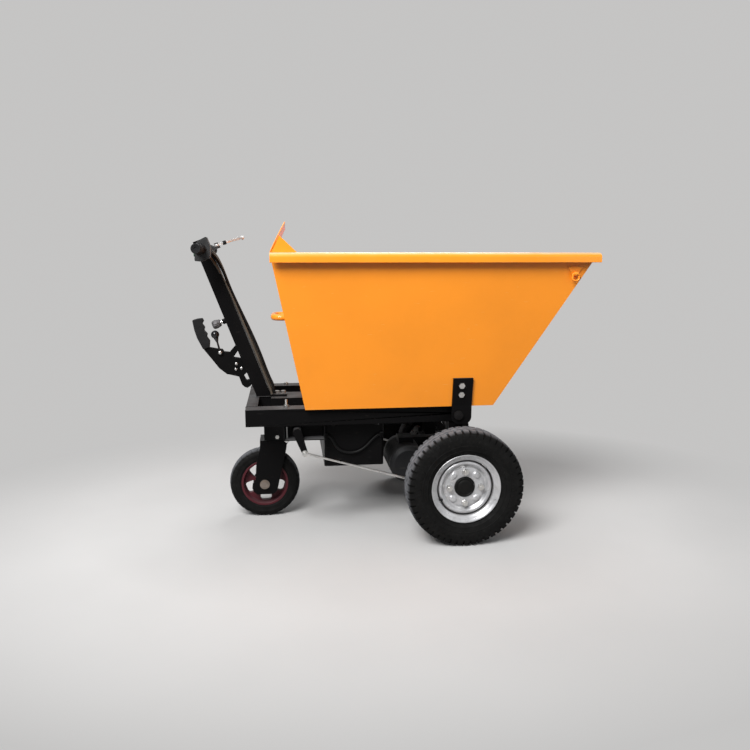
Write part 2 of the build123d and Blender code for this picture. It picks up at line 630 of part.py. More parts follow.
# Open battery tray under the frame, with flanges under the rails and clips for the lead
TRAY_FLANGE = 48.0
TRAY_FLANGE_T = 4.0
TRAY_ROUND = 8.0
TRAY_BOLT_XS = (BOX_REAR_X + 30, BOX_FRONT_X - 30)
TRAY_BOLT_Y = BOX_HALF + 30
CLIP_XS = (BOX_REAR_X + 6, BOX_FRONT_X - 8)
CLIP_Z = 352.0
CLIP_LENGTH = 12.0
CLIP_HALF = 7.0
LEAD_Y = -BOX_HALF - 8
LEAD_R = 4.5
with BuildPart() as battery_box:
    block((BOX_REAR_X, BOX_FRONT_X), (-BOX_HALF, BOX_HALF), (BOX_Z, FRAME_Z))
    fillet(battery_box.edges().filter_by(Axis.Z), TRAY_ROUND)
    tray_x = (BOX_REAR_X + BOX_WALL, BOX_FRONT_X - BOX_WALL)
    tray_y = (-BOX_HALF + BOX_WALL, BOX_HALF - BOX_WALL)
    block(tray_x, tray_y, (BOX_Z + BOX_WALL, FRAME_Z), Mode.SUBTRACT)
    for side in (-1, 1):
        flange_y = (side * (BOX_HALF - 1), side * (BOX_HALF + TRAY_FLANGE))
        block((BOX_REAR_X + 10, BOX_FRONT_X - 10), flange_y, (FRAME_Z - TRAY_FLANGE_T, FRAME_Z))
        for bolt_x in TRAY_BOLT_XS:
            flange_z = (FRAME_Z - TRAY_FLANGE_T, FRAME_Z)
            bar_z(bolt_x, side * TRAY_BOLT_Y, BOLT_HOLE_R, flange_z[0], flange_z[1], Mode.SUBTRACT)
    for clip_x in CLIP_XS:
        clip_span = (clip_x - CLIP_LENGTH / 2, clip_x + CLIP_LENGTH / 2)
        block(clip_span, (LEAD_Y - CLIP_HALF, -BOX_HALF + 1), (CLIP_Z - CLIP_HALF, CLIP_Z + CLIP_HALF))
battery_box.part.label = "battery_box"
export_step(battery_box.part, "parts/battery_box.step")

# Four batteries with their terminals
CELL = (98.0, 182.0, 130.0)
CELL_SPREAD = (51.0, 93.0)
POLE_Y = 70.0
POLE_R = 7.0
POLE_HEIGHT = 12.0
with BuildPart() as battery_pack:
    base_z = BOX_Z + BOX_WALL
    top_z = base_z + CELL[2]
    for cell_x in (-1, 1):
        for cell_y in (-1, 1):
            middle_x = (BOX_REAR_X + BOX_FRONT_X) / 2 + cell_x * CELL_SPREAD[0]
            middle_y = cell_y * CELL_SPREAD[1]
            cell_span_x = (middle_x - CELL[0] / 2, middle_x + CELL[0] / 2)
            cell_span_y = (middle_y - CELL[1] / 2, middle_y + CELL[1] / 2)
            block(cell_span_x, cell_span_y, (base_z, top_z))
            for pole_y in (middle_y - POLE_Y, middle_y + POLE_Y):
                bar_z(middle_x, pole_y, POLE_R, top_z, top_z + POLE_HEIGHT)
battery_pack.part.label = "battery_pack"
export_step(battery_pack.part, "parts/battery_pack.step")

# Finned motor controller under the centre beam
CONTROLLER_X = (MOTOR_X - 78, MOTOR_X + 27)
CONTROLLER_HALF = 48.0
CONTROLLER_Z = FRAME_Z - 42
FINS = 7
FIN_PITCH = 15.0
FIN_HALF = 2.0
FIN_DEPTH = 12.0
with BuildPart() as motor_controller:
    block(CONTROLLER_X, (-CONTROLLER_HALF, CONTROLLER_HALF), (CONTROLLER_Z, FRAME_Z))
    for fin in range(FINS):
        fin_y = (fin - (FINS - 1) / 2) * FIN_PITCH
        block(CONTROLLER_X, (fin_y - FIN_HALF, fin_y + FIN_HALF), (CONTROLLER_Z - FIN_DEPTH, CONTROLLER_Z))
motor_controller.part.label = "motor_controller"
export_step(motor_controller.part, "parts/motor_controller.step")

# Axle housing: differential case, two tubes with end flanges, and the reduction case to the motor
HOUSING_END = 285.0
TUBE_BORE_R = 22.0
END_FLANGE_Y = HOUSING_END - 6.0
END_FLANGE_R = 42.0
BORE_START = 60.0
CASE_Y = (56.0, 96.0)
CASE_AXLE_R = 66.0
CASE_MOTOR_R = 58.0
with BuildPart() as axle_housing:
    left_half = [(40, 78), (55, 68), (75, AXLE_TUBE_R), (END_FLANGE_Y, AXLE_TUBE_R)]
    left_half += [(END_FLANGE_Y, END_FLANGE_R), (HOUSING_END, END_FLANGE_R), (HOUSING_END, 0)]
    right_half = [(-y, r) for y, r in reversed(left_half)]
    turned(AXLE_SECTION, right_half + left_half, AXLE_AXIS)
    with BuildSketch(xz_plane(CASE_Y[1])):
        with Locations((AXLE_X, AXLE_Z)):
            Circle(CASE_AXLE_R)
        with Locations((MOTOR_X, MOTOR_Z)):
            Circle(CASE_MOTOR_R)
        make_hull()
    extrude(amount=CASE_Y[1] - CASE_Y[0])
    for side in (-1, 1):
        bar_y(AXLE_X, AXLE_Z, TUBE_BORE_R, side * BORE_START, side * HOUSING_END, Mode.SUBTRACT)
axle_housing.part.label = "axle_housing"
export_step(axle_housing.part, "parts/axle_housing.step")

# Drive motor with cooling ribs and a terminal box
MOTOR_END_Y = -134.0
RIBS = 12
RIB_START = MOTOR_END_Y + 18.0
RIB_PITCH = 12.0
RIB_GAP = 5.0
RIB_FOOT_R = MOTOR_R - 6.0
TERMINAL_X = (MOTOR_X - 28, MOTOR_X + 28)
TERMINAL_Y = (-70.0, 0.0)
TERMINAL_Z = (MOTOR_Z + MOTOR_R - 12, MOTOR_Z + MOTOR_R + 18)
with BuildPart() as drive_motor:
    shell = [(MOTOR_END_Y, 0), (MOTOR_END_Y, MOTOR_R - 16), (MOTOR_END_Y + 10, MOTOR_R), (RIB_START, MOTOR_R)]
    for rib in range(RIBS):
        start = RIB_START + rib * RIB_PITCH
        shell += [(start, RIB_FOOT_R), (start + RIB_GAP, RIB_FOOT_R)]
        shell += [(start + RIB_GAP, MOTOR_R), (start + RIB_PITCH, MOTOR_R)]
    shell += [(CASE_Y[0] - 10, MOTOR_R), (CASE_Y[0], MOTOR_R - 8), (CASE_Y[0], 0)]
    turned(MOTOR_SECTION, shell, MOTOR_AXIS)
    block(TERMINAL_X, TERMINAL_Y, TERMINAL_Z)
drive_motor.part.label = "drive_motor"
export_step(drive_motor.part, "parts/drive_motor.step")

# Bearings of the half shafts, backing plates and brake shoes
BEARING_Y = (255.0, 275.0)
PLATE_Y = (HOUSING_END, HOUSING_END + 5)
with BuildPart() as axle_bearings:
    for side in (-1, 1):
        ring_y = (side * BEARING_Y[0], side * BEARING_Y[1])
        bar_y(AXLE_X, AXLE_Z, TUBE_BORE_R - HOLD, ring_y[0], ring_y[1])
        bar_y(AXLE_X, AXLE_Z, HALF_SHAFT_R + RUN, ring_y[0], ring_y[1], Mode.SUBTRACT)
axle_bearings.part.label = "axle_bearings"
export_step(axle_bearings.part, "parts/axle_bearings.step")

with BuildPart() as backing_plates:
    for side in (-1, 1):
        plate_y = (side * PLATE_Y[0], side * PLATE_Y[1])
        bar_y(AXLE_X, AXLE_Z, DRUM_R - 2, plate_y[0], plate_y[1])
        bar_y(AXLE_X, AXLE_Z, HALF_SHAFT_R + 4, plate_y[0], plate_y[1], Mode.SUBTRACT)
        bar_y(CAM_X, CAM_Z, CAM_R + RUN, plate_y[0], plate_y[1], Mode.SUBTRACT)
backing_plates.part.label = "backing_plates"
export_step(backing_plates.part, "parts/backing_plates.step")

CAM_REACH = hypot(CAM_X - AXLE_X, CAM_Z - AXLE_Z)
CAM_DIR = ((CAM_X - AXLE_X) / CAM_REACH, (CAM_Z - AXLE_Z) / CAM_REACH)
SHOE_GAP_HALF = 14.0
SHOE_END_Y = 325.0
SHOE_R = (DRUM_BORE_R - 20, DRUM_BORE_R - 1)
with BuildPart() as brake_shoes:
    gap = []
    for along, across in ((-1, -1), (1, -1), (1, 1), (-1, 1)):
        gap_x = AXLE_X + along * DRUM_R * CAM_DIR[0] - across * SHOE_GAP_HALF * CAM_DIR[1]
        gap_z = AXLE_Z + along * DRUM_R * CAM_DIR[1] + across * SHOE_GAP_HALF * CAM_DIR[0]
        gap.append((gap_x, gap_z))
    for side in (-1, 1):
        shoe_y = (side * PLATE_Y[1], side * SHOE_END_Y)
        bar_y(AXLE_X, AXLE_Z, SHOE_R[1], shoe_y[0], shoe_y[1])
        bar_y(AXLE_X, AXLE_Z, SHOE_R[0], shoe_y[0], shoe_y[1], Mode.SUBTRACT)
        plate(gap, shoe_y[0], shoe_y[1], Mode.SUBTRACT)
brake_shoes.part.label = "brake_shoes"
export_step(brake_shoes.part, "parts/brake_shoes.step")


# Brake linkage: cross shaft with its arms, then a rod and a cam lever on each side
ARM_Y = (257.0, 263.0)
CAM_LEVER_Y = (274.0, 280.0)
ARM_PIN_R = 5.0
ARM_PIN_END = ROD_Y + 7.0
CAM_PIN_START = ROD_Y - 7.0
CAM_END_Y = 315.0
ARM_ROOT_R = 15.0
LINK_TIP_R = 10.0
PULL_ARM_Y = (96.0, 104.0)
PULL_ARM_END = (SHAFT_X - 8, SHAFT_Z - 58)


def link_plate(start, start_r, end, end_r, y_from, y_to):
    """Flat link with round ends about two X, Z points, in the open part."""
    with BuildSketch(xz_plane(y_from)) as face:
        with Locations(start):
            Circle(start_r)
        with Locations(end):
            Circle(end_r)
        make_hull()
    extrude(face.sketch, amount=y_from - y_to)


with BuildPart() as brake_shaft:
    bar_y(SHAFT_X, SHAFT_Z, SHAFT_R, -ARM_Y[1], ARM_Y[1])
    link_plate((SHAFT_X, SHAFT_Z), ARM_ROOT_R, PULL_ARM_END, LINK_TIP_R, PULL_ARM_Y[0], PULL_ARM_Y[1])
    for side in (-1, 1):
        arm_y = (side * ARM_Y[0], side * ARM_Y[1])
        link_plate((SHAFT_X, SHAFT_Z), ARM_ROOT_R, (ARM_END_X, ARM_END_Z), LINK_TIP_R, arm_y[0], arm_y[1])
        bar_y(ARM_END_X, ARM_END_Z, ARM_PIN_R, arm_y[0], side * ARM_PIN_END)
brake_shaft.part.label = "brake_shaft"
export_step(brake_shaft.part, "parts/brake_shaft.step")

ROD_DIR = (ROD_END_X - ARM_END_X, 0, ROD_END_Z - ARM_END_Z)
ROD_LENGTH = hypot(ROD_DIR[0], ROD_DIR[2])
ARM_EYE_R = 11.0
CAM_EYE_R = 12.0
EYE_BORE_R = 6.5
EYE_HALF = 4.5
for side, name in ((-1, "right"), (1, "left")):
    with BuildPart() as brake_rod:
        eye_y = (side * (ROD_Y - EYE_HALF), side * (ROD_Y + EYE_HALF))
        bar_y(ARM_END_X, ARM_END_Z, ARM_EYE_R, eye_y[0], eye_y[1])
        bar_y(ROD_END_X, ROD_END_Z, CAM_EYE_R, eye_y[0], eye_y[1])
        rod_plane = Plane(origin=(ARM_END_X, side * ROD_Y, ARM_END_Z), x_dir=(0, 1, 0), z_dir=ROD_DIR)
        extrude(disc(rod_plane, 0, 0, ROD_R), amount=ROD_LENGTH)
        bar_y(ARM_END_X, ARM_END_Z, ARM_PIN_R + RUN, eye_y[0], eye_y[1], Mode.SUBTRACT)
        bar_y(ROD_END_X, ROD_END_Z, EYE_BORE_R, eye_y[0], eye_y[1], Mode.SUBTRACT)
    brake_rod.part.label = f"{name}_brake_rod"
    export_step(brake_rod.part, f"parts/{name}_brake_rod.step")

    with BuildPart() as cam_lever:
        lever_y = (side * CAM_LEVER_Y[0], side * CAM_LEVER_Y[1])
        link_plate((CAM_X, CAM_Z), CAM_R + 6, (ROD_END_X, ROD_END_Z), LINK_TIP_R, lever_y[0], lever_y[1])
        bar_y(CAM_X, CAM_Z, CAM_R, lever_y[0], side * CAM_END_Y)
        bar_y(ROD_END_X, ROD_END_Z, ROD_R, side * CAM_PIN_START, lever_y[0])
    cam_lever.part.label = f"{name}_cam_lever"
    export_step(cam_lever.part, f"parts/{name}_cam_lever.step")

# Castor: fork with its king pin, axle bolt, spoked rim and solid tyre
LEG_Y = (39.0, 47.0)
CROWN_T = 14.0
CASTOR_BOLT_R = 8.0
CASTOR_RIM_R = 88.0
CASTOR_NUT = (24.0, 9.0)
CASTOR_WASHER = (18.0, 3.0)
CASTOR_THREAD = 14.0
THRUST_R = 30.0
LEG_OUTLINE = [
    (SWIVEL_X - 56, CROWN_Z),
    (SWIVEL_X - 56, CROWN_Z - 26),
    (SWIVEL_X - 72, CROWN_Z - 91),
    (SWIVEL_X - 76, CROWN_Z - 150),
    (SWIVEL_X - 87, CROWN_Z - 166),
    (SWIVEL_X - 89, CROWN_Z - 184),
    (SWIVEL_X - 83, CROWN_Z - 199),
    (SWIVEL_X - 70, CROWN_Z - 209),
    (SWIVEL_X - 12, CROWN_Z - 209),
    (SWIVEL_X + 2, CROWN_Z - 199),
    (SWIVEL_X + 8, CROWN_Z - 180),
    (SWIVEL_X + 16, CROWN_Z - 142),
    (SWIVEL_X + 41, CROWN_Z - 36),
    (SWIVEL_X + 46, CROWN_Z),
]
with BuildPart() as castor_fork:
    for side in (-1, 1):
        plate(LEG_OUTLINE, side * LEG_Y[0], side * LEG_Y[1])
        leg_y = (side * LEG_Y[0], side * LEG_Y[1])
        bar_y(CASTOR_X, CASTOR_R, CASTOR_BOLT_R + HOLD, leg_y[0], leg_y[1], Mode.SUBTRACT)
    crown_x = (SWIVEL_X - 56, SWIVEL_X + 46)
    block(crown_x, (-LEG_Y[1], LEG_Y[1]), (CROWN_Z - CROWN_T, CROWN_Z))
    bar_z(SWIVEL_X, 0, THRUST_R, CROWN_Z, PEDESTAL_Z - 0.5)
    bar_z(SWIVEL_X, 0, KING_PIN_R, CROWN_Z, FRAME_Z - 6)
castor_fork.part.label = "castor_fork"
export_step(castor_fork.part, "parts/castor_fork.step")

with BuildPart() as castor_axle_bolt:
    bar_y(CASTOR_X, CASTOR_R, CASTOR_BOLT_R, -LEG_Y[1] - CASTOR_THREAD, LEG_Y[1] + CASTOR_THREAD)
    washer_y = LEG_Y[1] + CASTOR_WASHER[1]
    for side in (-1, 1):
        bar_y(CASTOR_X, CASTOR_R, CASTOR_WASHER[0], side * LEG_Y[1], side * washer_y)
    hex_bar(xz_plane(-washer_y), CASTOR_X, CASTOR_R, *CASTOR_NUT)
    hex_bar(xz_plane(washer_y + CASTOR_NUT[1]), CASTOR_X, CASTOR_R, *CASTOR_NUT)
castor_axle_bolt.part.label = "castor_axle_bolt"
export_step(castor_axle_bolt.part, "parts/castor_axle_bolt.step")

CASTOR_HUB = (24.0, 38.0)
CASTOR_WEB = 9.0
OPENING = 42.0
OPENING_ROUND = 12.0
OPENING_CIRCLE_R = 53.0
OPENING_START = 56.0
with BuildPart() as castor_rim:
    half = [(CASTOR_WEB, CASTOR_HUB[0] + 4), (CASTOR_WEB, 76), (31, 80), (31, CASTOR_RIM_R)]
    hub = [(CASTOR_HUB[1], CASTOR_BOLT_R + RUN), (CASTOR_HUB[1], CASTOR_HUB[0])]
    right_half = hub + half
    left_half = [(-y, r) for y, r in reversed(right_half)]
    turned(CASTOR_SECTION, right_half + left_half, CASTOR_AXIS)
    with BuildSketch(xz_plane(CASTOR_WEB)):
        with Locations((CASTOR_X, CASTOR_R)):
            with PolarLocations(OPENING_CIRCLE_R, CASTOR_SPOKES, start_angle=OPENING_START):
                RectangleRounded(OPENING, OPENING, OPENING_ROUND)
    extrude(amount=2 * CASTOR_WEB, mode=Mode.SUBTRACT)
castor_rim.part.label = "castor_rim"
export_step(castor_rim.part, "parts/castor_rim.step")

with BuildPart() as castor_tyre:
    with BuildSketch(CASTOR_SECTION):
        with BuildLine():
            seat_r = CASTOR_RIM_R + HOLD
            tread = ThreePointArc((-24, CASTOR_R - 3), (0, CASTOR_R), (24, CASTOR_R - 3))
            right_wall = ThreePointArc(tread @ 1, (CASTOR_WIDTH / 2, 112), (30, seat_r))
            seat = Line(right_wall @ 1, (-30, seat_r))
            ThreePointArc(seat @ 1, (-CASTOR_WIDTH / 2, 112), tread @ 0)
        make_face()
    revolve(axis=CASTOR_AXIS)
castor_tyre.part.label = "castor_tyre"
export_step(castor_tyre.part, "parts/castor_tyre.step")

# Drive wheels: tyre, pressed steel rim, drum with hub and half shaft, hub cap, nuts on studs
TYRE_BEAD_R = RIM_SEAT_R + 0.6
TYRE_HALF = TYRE_WIDTH / 2
DISC_FACE = TRACK_HALF + 15.0
LUG_GAP = 7.0
LUG_Y = 42.0
LUG_LENGTH = 26.0
LUG_DEPTH = 9.0
GROOVE_YS = (-11.0, 11.0)
GROOVE_HALF = 3.0
GROOVE_DEPTH = 7.0
WHEEL_STUD_R = 6.0
WHEEL_STUD_LENGTH = 22.0
WHEEL_NUT = (19.0, 14.0)
DISC_T = 4.0
for side, name in ((-1, "right"), (1, "left")):
    wheel_section = Plane(origin=(AXLE_X, side * TRACK_HALF, AXLE_Z), x_dir=(0, 1, 0), z_dir=(1, 0, 0))

    with BuildPart() as tyre:
        with BuildSketch(wheel_section):
            with BuildLine():
                Line((0, TYRE_R), (34, TYRE_R - 1.5))
                ThreePointArc((34, TYRE_R - 1.5), (45, TYRE_R - 5), (TYRE_HALF - 3, TYRE_R - 15))
                ThreePointArc((TYRE_HALF - 3, TYRE_R - 15), (TYRE_HALF, 158), (36.5, RIM_FLANGE_R + 1))
                Line((36.5, RIM_FLANGE_R + 1), (33.5, TYRE_BEAD_R))
                Line((33.5, TYRE_BEAD_R), (22, TYRE_BEAD_R))
                Line((22, TYRE_BEAD_R), (24, RIM_FLANGE_R))
                ThreePointArc((24, RIM_FLANGE_R), (43, 156), (38, TYRE_R - 20))
                Line((38, TYRE_R - 20), (0, TYRE_R - 15))
                mirror(about=Plane.YZ)
            make_face()
        revolve(axis=AXLE_AXIS)
        for shoulder in (-1, 1):
            shoulder_y = side * TRACK_HALF + shoulder * LUG_Y
            with BuildSketch(xz_plane(shoulder_y + LUG_LENGTH / 2)):
                with Locations((AXLE_X, AXLE_Z)):
                    turn = 90 * shoulder / SHOULDER_LUGS
                    with PolarLocations(TYRE_R, SHOULDER_LUGS, start_angle=turn):
                        Rectangle(2 * LUG_DEPTH, LUG_GAP)
            extrude(amount=LUG_LENGTH, mode=Mode.SUBTRACT)
        for groove in GROOVE_YS:
            groove_y = (groove - GROOVE_HALF, groove + GROOVE_HALF)
            groove_points = [(groove_y[0], TYRE_R - GROOVE_DEPTH), (groove_y[1], TYRE_R - GROOVE_DEPTH)]
            groove_points += [(groove_y[1], TYRE_R + 1), (groove_y[0], TYRE_R + 1)]
            turned(wheel_section, groove_points, AXLE_AXIS, Mode.SUBTRACT)
    tyre.part.label = f"{name}_tyre"
    export_step(tyre.part, f"parts/{name}_tyre.step")

    with BuildPart() as rim:
        seat = [(-RIM_HALF, RIM_FLANGE_R), (-RIM_HALF + 3, RIM_FLANGE_R), (-36, 106), (-34, RIM_SEAT_R)]
        seat += [(34, RIM_SEAT_R), (36, 106), (RIM_HALF - 3, RIM_FLANGE_R), (RIM_HALF, RIM_FLANGE_R)]
        inside = [(RIM_HALF - 1, 105), (36, 98), (11, 98), (20, 79), (20, 74), (15, 66), (15, 36)]
        inside += [(11, 36), (11, 68), (16, 76), (6, 95), (6, 98), (-36, 98), (-RIM_HALF + 1, 105)]
        turned(wheel_section, [(side * y, r) for y, r in seat + inside], AXLE_AXIS)
        with BuildSketch(xz_plane(side * (DISC_FACE + 1))):
            with Locations((AXLE_X, AXLE_Z)):
                with PolarLocations(NUT_CIRCLE_R, WHEEL_NUTS):
                    Circle(WHEEL_STUD_R + 0.5)
        extrude(amount=side * (DISC_T + 2), mode=Mode.SUBTRACT)
    rim.part.label = f"{name}_rim"
    export_step(rim.part, f"parts/{name}_rim.step")

    with BuildPart() as brake_drum:
        shaft = [(62, 0), (62, HALF_SHAFT_R), (332, HALF_SHAFT_R), (332, 34), (339, 40)]
        drum = [(339, DRUM_BORE_R), (295, DRUM_BORE_R), (295, DRUM_R), (345, DRUM_R), (345, 46)]
        hub = [(361, 46), (361, 68), (DISC_FACE - DISC_T, 68), (DISC_FACE - DISC_T, 35.5), (DISC_FACE, 35.5)]
        hub += [(DISC_FACE, 0)]
        turned(AXLE_SECTION, [(side * y, r) for y, r in shaft + drum + hub], AXLE_AXIS)
    brake_drum.part.label = f"{name}_brake_drum"
    export_step(brake_drum.part, f"parts/{name}_brake_drum.step")

    with BuildPart() as hub_cap:
        cap = [(DISC_FACE, 0), (DISC_FACE, 33), (DISC_FACE + 3, 33), (DISC_FACE + 5, 29), (DISC_FACE + 6, 0)]
        turned(AXLE_SECTION, [(side * y, r) for y, r in cap], AXLE_AXIS)
    hub_cap.part.label = f"{name}_hub_cap"
    export_step(hub_cap.part, f"parts/{name}_hub_cap.step")

    with BuildPart() as lug_nuts:
        with BuildSketch(xz_plane(side * (DISC_FACE - DISC_T))):
            with Locations((AXLE_X, AXLE_Z)):
                with PolarLocations(NUT_CIRCLE_R, WHEEL_NUTS):
                    Circle(WHEEL_STUD_R)
        extrude(amount=-side * WHEEL_STUD_LENGTH)
        with BuildSketch(xz_plane(side * DISC_FACE)):
            with Locations((AXLE_X, AXLE_Z)):
                with PolarLocations(NUT_CIRCLE_R, WHEEL_NUTS):
                    RegularPolygon(WHEEL_NUT[0] / 2, 6, major_radius=False)
        extrude(amount=-side * WHEEL_NUT[1])
    lug_nuts.part.label = f"{name}_lug_nuts"
    export_step(lug_nuts.part, f"parts/{name}_lug_nuts.step")

# Cables that are held all the way: the loom down the column and the lead along the battery tray
LOOM_R = 5.0
LOOM_Y = -8.0
LOOM_FOOT_X = AXLE_X - 645.0
LOOM_LIFT = COLUMN / 2 * LEAN_SCALE + LOOM_R + 1


def column_front_x(z, lift=0.0):
    """X of a line in front of the column's front face at a height."""
    return column_x(z) + LOOM_LIFT + lift


LOOM_POINTS = [
    (BAR_X + 22, HOUSING_Y[1], BAR_Z - 4),
    (BAR_X + 22, HOUSING_Y[1] + 38, BAR_Z - 4),
    (column_front_x(960, 4), LOOM_Y, 960),
    (column_front_x(850, 3), LOOM_Y, 850),
    (column_front_x(665, 18), LOOM_Y, 665),
    (column_front_x(540, 14), LOOM_Y, 540),
    (LOOM_FOOT_X, LOOM_Y, FOOT_TOP_Z + 30),
    (LOOM_FOOT_X, LOOM_Y, FOOT_TOP_Z),
]
LOOM_RADII = [20, 40, 80, 80, 60, 30]
LEAD_POINTS = [
    (CLIP_XS[0] + CLIP_LENGTH / 2, LEAD_Y, CLIP_Z),
    (CLIP_XS[0] + 16, LEAD_Y, CLIP_Z),
    (CLIP_XS[0] + 45, LEAD_Y, CLIP_Z - 62),
    (CLIP_XS[1] - 77, LEAD_Y, CLIP_Z - 66),
    (CLIP_XS[1] - 18, LEAD_Y, CLIP_Z),
    (CLIP_XS[1] - CLIP_LENGTH / 2, LEAD_Y, CLIP_Z),
]
LEAD_RADII = [8, 40, 55, 14]
with BuildPart() as cable_loom:
    with BuildLine() as loom_path:
        FilletPolyline(*LOOM_POINTS, radius=LOOM_RADII)
    with BuildSketch(Plane(origin=LOOM_POINTS[0], z_dir=(0, 1, 0))) as loom_section:
        Circle(LOOM_R)
    sweep(sections=loom_section.sketch, path=loom_path.wire())
    with BuildLine() as lead_path:
        FilletPolyline(*LEAD_POINTS, radius=LEAD_RADII)
    with BuildSketch(Plane(origin=LEAD_POINTS[0], z_dir=(1, 0, 0))) as lead_section:
        Circle(LEAD_R)
    sweep(sections=lead_section.sketch, path=lead_path.wire())
cable_loom.part.label = "cable_loom"
export_step(cable_loom.part, "parts/cable_loom.step")
loom_length = loom_path.wire().length
lead_length = lead_path.wire().length
cable_volume = pi * (LOOM_R**2 * loom_length + LEAD_R**2 * lead_length)
print("bend radii", LOOM_RADII, LEAD_RADII, "lengths", round(loom_length), round(lead_length))
print("cable volume", round(cable_loom.part.volume), "section times length", round(cable_volume))

# Frame fasteners: foot bolts, rail studs, axle clamps, tray bolts and the pedestal bolt
STUD_LOW_Z = HANGER_Z - 12
STUD_TOP_ZS = {-1: DECK_Z + 27, 1: DECK_Z + 10}
PEDESTAL_HEAD = (13.0, 5.0)
CLAMP_NUT = (16.0, 8.0)
CLAMP_THREAD = 16.0
with BuildPart() as frame_fasteners:
    for bolt_x in FOOT_BOLT_XS:
        bar_z(bolt_x, FOOT_BOLT_Y, BOLT_R, DECK_Z, FOOT_TOP_Z)
        hex_bar(Plane.XY.offset(FOOT_TOP_Z), bolt_x, FOOT_BOLT_Y, *BOLT_HEAD)
    hex_bar(xz_plane(-BEAM_HALF), SWIVEL_X + 9, PEDESTAL_Z + 12, *PEDESTAL_HEAD)
    for side in (-1, 1):
        bar_z(STUD_X, side * STUD_Y, STUD_R, STUD_LOW_Z, STUD_TOP_ZS[side])
        for nut_z in (HANGER_Z - STUD_NUT[1], DECK_Z):
            hex_bar(Plane.XY.offset(nut_z), STUD_X, side * STUD_Y, *STUD_NUT)
        for bolt_x in TRAY_BOLT_XS:
            flange_low = FRAME_Z - TRAY_FLANGE_T
            bar_z(bolt_x, side * TRAY_BOLT_Y, BOLT_R, flange_low, FRAME_Z)
            hex_bar(Plane.XY.offset(flange_low - BOLT_HEAD[1]), bolt_x, side * TRAY_BOLT_Y, *BOLT_HEAD)
        for clamp in (-1, 1):
            clamp_y = side * RAIL_MID + clamp * CLAMP_SPREAD
            clamp_plane = Plane(origin=(AXLE_X, clamp_y, AXLE_Z), x_dir=(1, 0, 0), z_dir=(0, -1, 0))
            with BuildLine(clamp_plane) as clamp_path:
                leg_top = SADDLE_Z + SADDLE_T + CLAMP_THREAD - AXLE_Z
                Line((-CLAMP_HALF, leg_top), (-CLAMP_HALF, 0))
                ThreePointArc((-CLAMP_HALF, 0), (0, -CLAMP_HALF), (CLAMP_HALF, 0))
                Line((CLAMP_HALF, 0), (CLAMP_HALF, leg_top))
            leg_plane = Plane(origin=clamp_path.wire() @ 0, z_dir=(0, 0, -1))
            with BuildSketch(leg_plane) as clamp_section:
                Circle(BOLT_R)
            sweep(sections=clamp_section.sketch, path=clamp_path.wire())
            for leg in (-1, 1):
                leg_x = AXLE_X + leg * CLAMP_HALF
                hex_bar(Plane.XY.offset(SADDLE_Z + SADDLE_T), leg_x, clamp_y, *CLAMP_NUT)
frame_fasteners.part.label = "frame_fasteners"
export_step(frame_fasteners.part, "parts/frame_fasteners.step")

# Bin of welded sheet: four leaning walls with the floor between them
HINGE_BOLT_X = AXLE_X + 1.0
HINGE_BOLT_R = 6.0
PLATE_GAP = 0.2


def bolt_plane(side, z):
    """Plane on the outer face of a hinge plate, facing away from the bin."""
    face_y = side * (side_y(z) + PLATE_GAP + HINGE_PLATE_T)
    return Plane(origin=(HINGE_BOLT_X, face_y, z), x_dir=(1, 0, 0), z_dir=(0, side, -SIDE_LEAN))


def leaning_wall(low_x, low_y, high_x, high_y):
    """Sheet between two level strips, at the bottom and the top of the walls, in the open part."""
    strips = []
    for x_span, y_span, z in ((low_x, low_y, BIN_Z), (high_x, high_y, WALL_TOP_Z)):
        corners = [(x_span[0], y_span[0]), (x_span[1], y_span[0])]
        corners += [(x_span[1], y_span[1]), (x_span[0], y_span[1])]
        strips.append(outline(Plane.XY.offset(z), corners))
    loft(strips, ruled=True)


with BuildPart() as bin_floor:
    floor_half = BIN_HALF - SHEET
    block((BIN_REAR_X + SHEET, BIN_FRONT_X - FRONT_SHEET), (-floor_half, floor_half), (BIN_Z, FLOOR_Z))
bin_floor.part.label = "bin_floor"
export_step(bin_floor.part, "parts/bin_floor.step")

for side, name in ((-1, "right"), (1, "left")):
    with BuildPart() as side_wall:
        spans = []
        for z in (BIN_Z, WALL_TOP_Z):
            spans.append((rear_x(z), front_x(z)))
            spans.append((side * (side_y(z) - SHEET), side * side_y(z)))
        leaning_wall(*spans)
        for bolt_z in HINGE_BOLT_ZS:
            hole = disc(bolt_plane(side, bolt_z), 0, 0, HINGE_BOLT_R + HOLD)
            extrude(hole, amount=-HINGE_PLATE_T - 3 * SHEET, mode=Mode.SUBTRACT)
    side_wall.part.label = f"bin_{name}_wall"
    export_step(side_wall.part, f"parts/bin_{name}_wall.step")

for end_x, inward, name in ((rear_x, SHEET, "rear"), (front_x, -FRONT_SHEET, "front")):
    with BuildPart() as end_wall:
        spans = []
        for z in (BIN_Z, WALL_TOP_Z):
            spans.append((end_x(z), end_x(z) + inward))
            spans.append((-side_y(z) + SHEET, side_y(z) - SHEET))
        leaning_wall(*spans)
    end_wall.part.label = f"bin_{name}_wall"
    export_step(end_wall.part, f"parts/bin_{name}_wall.step")

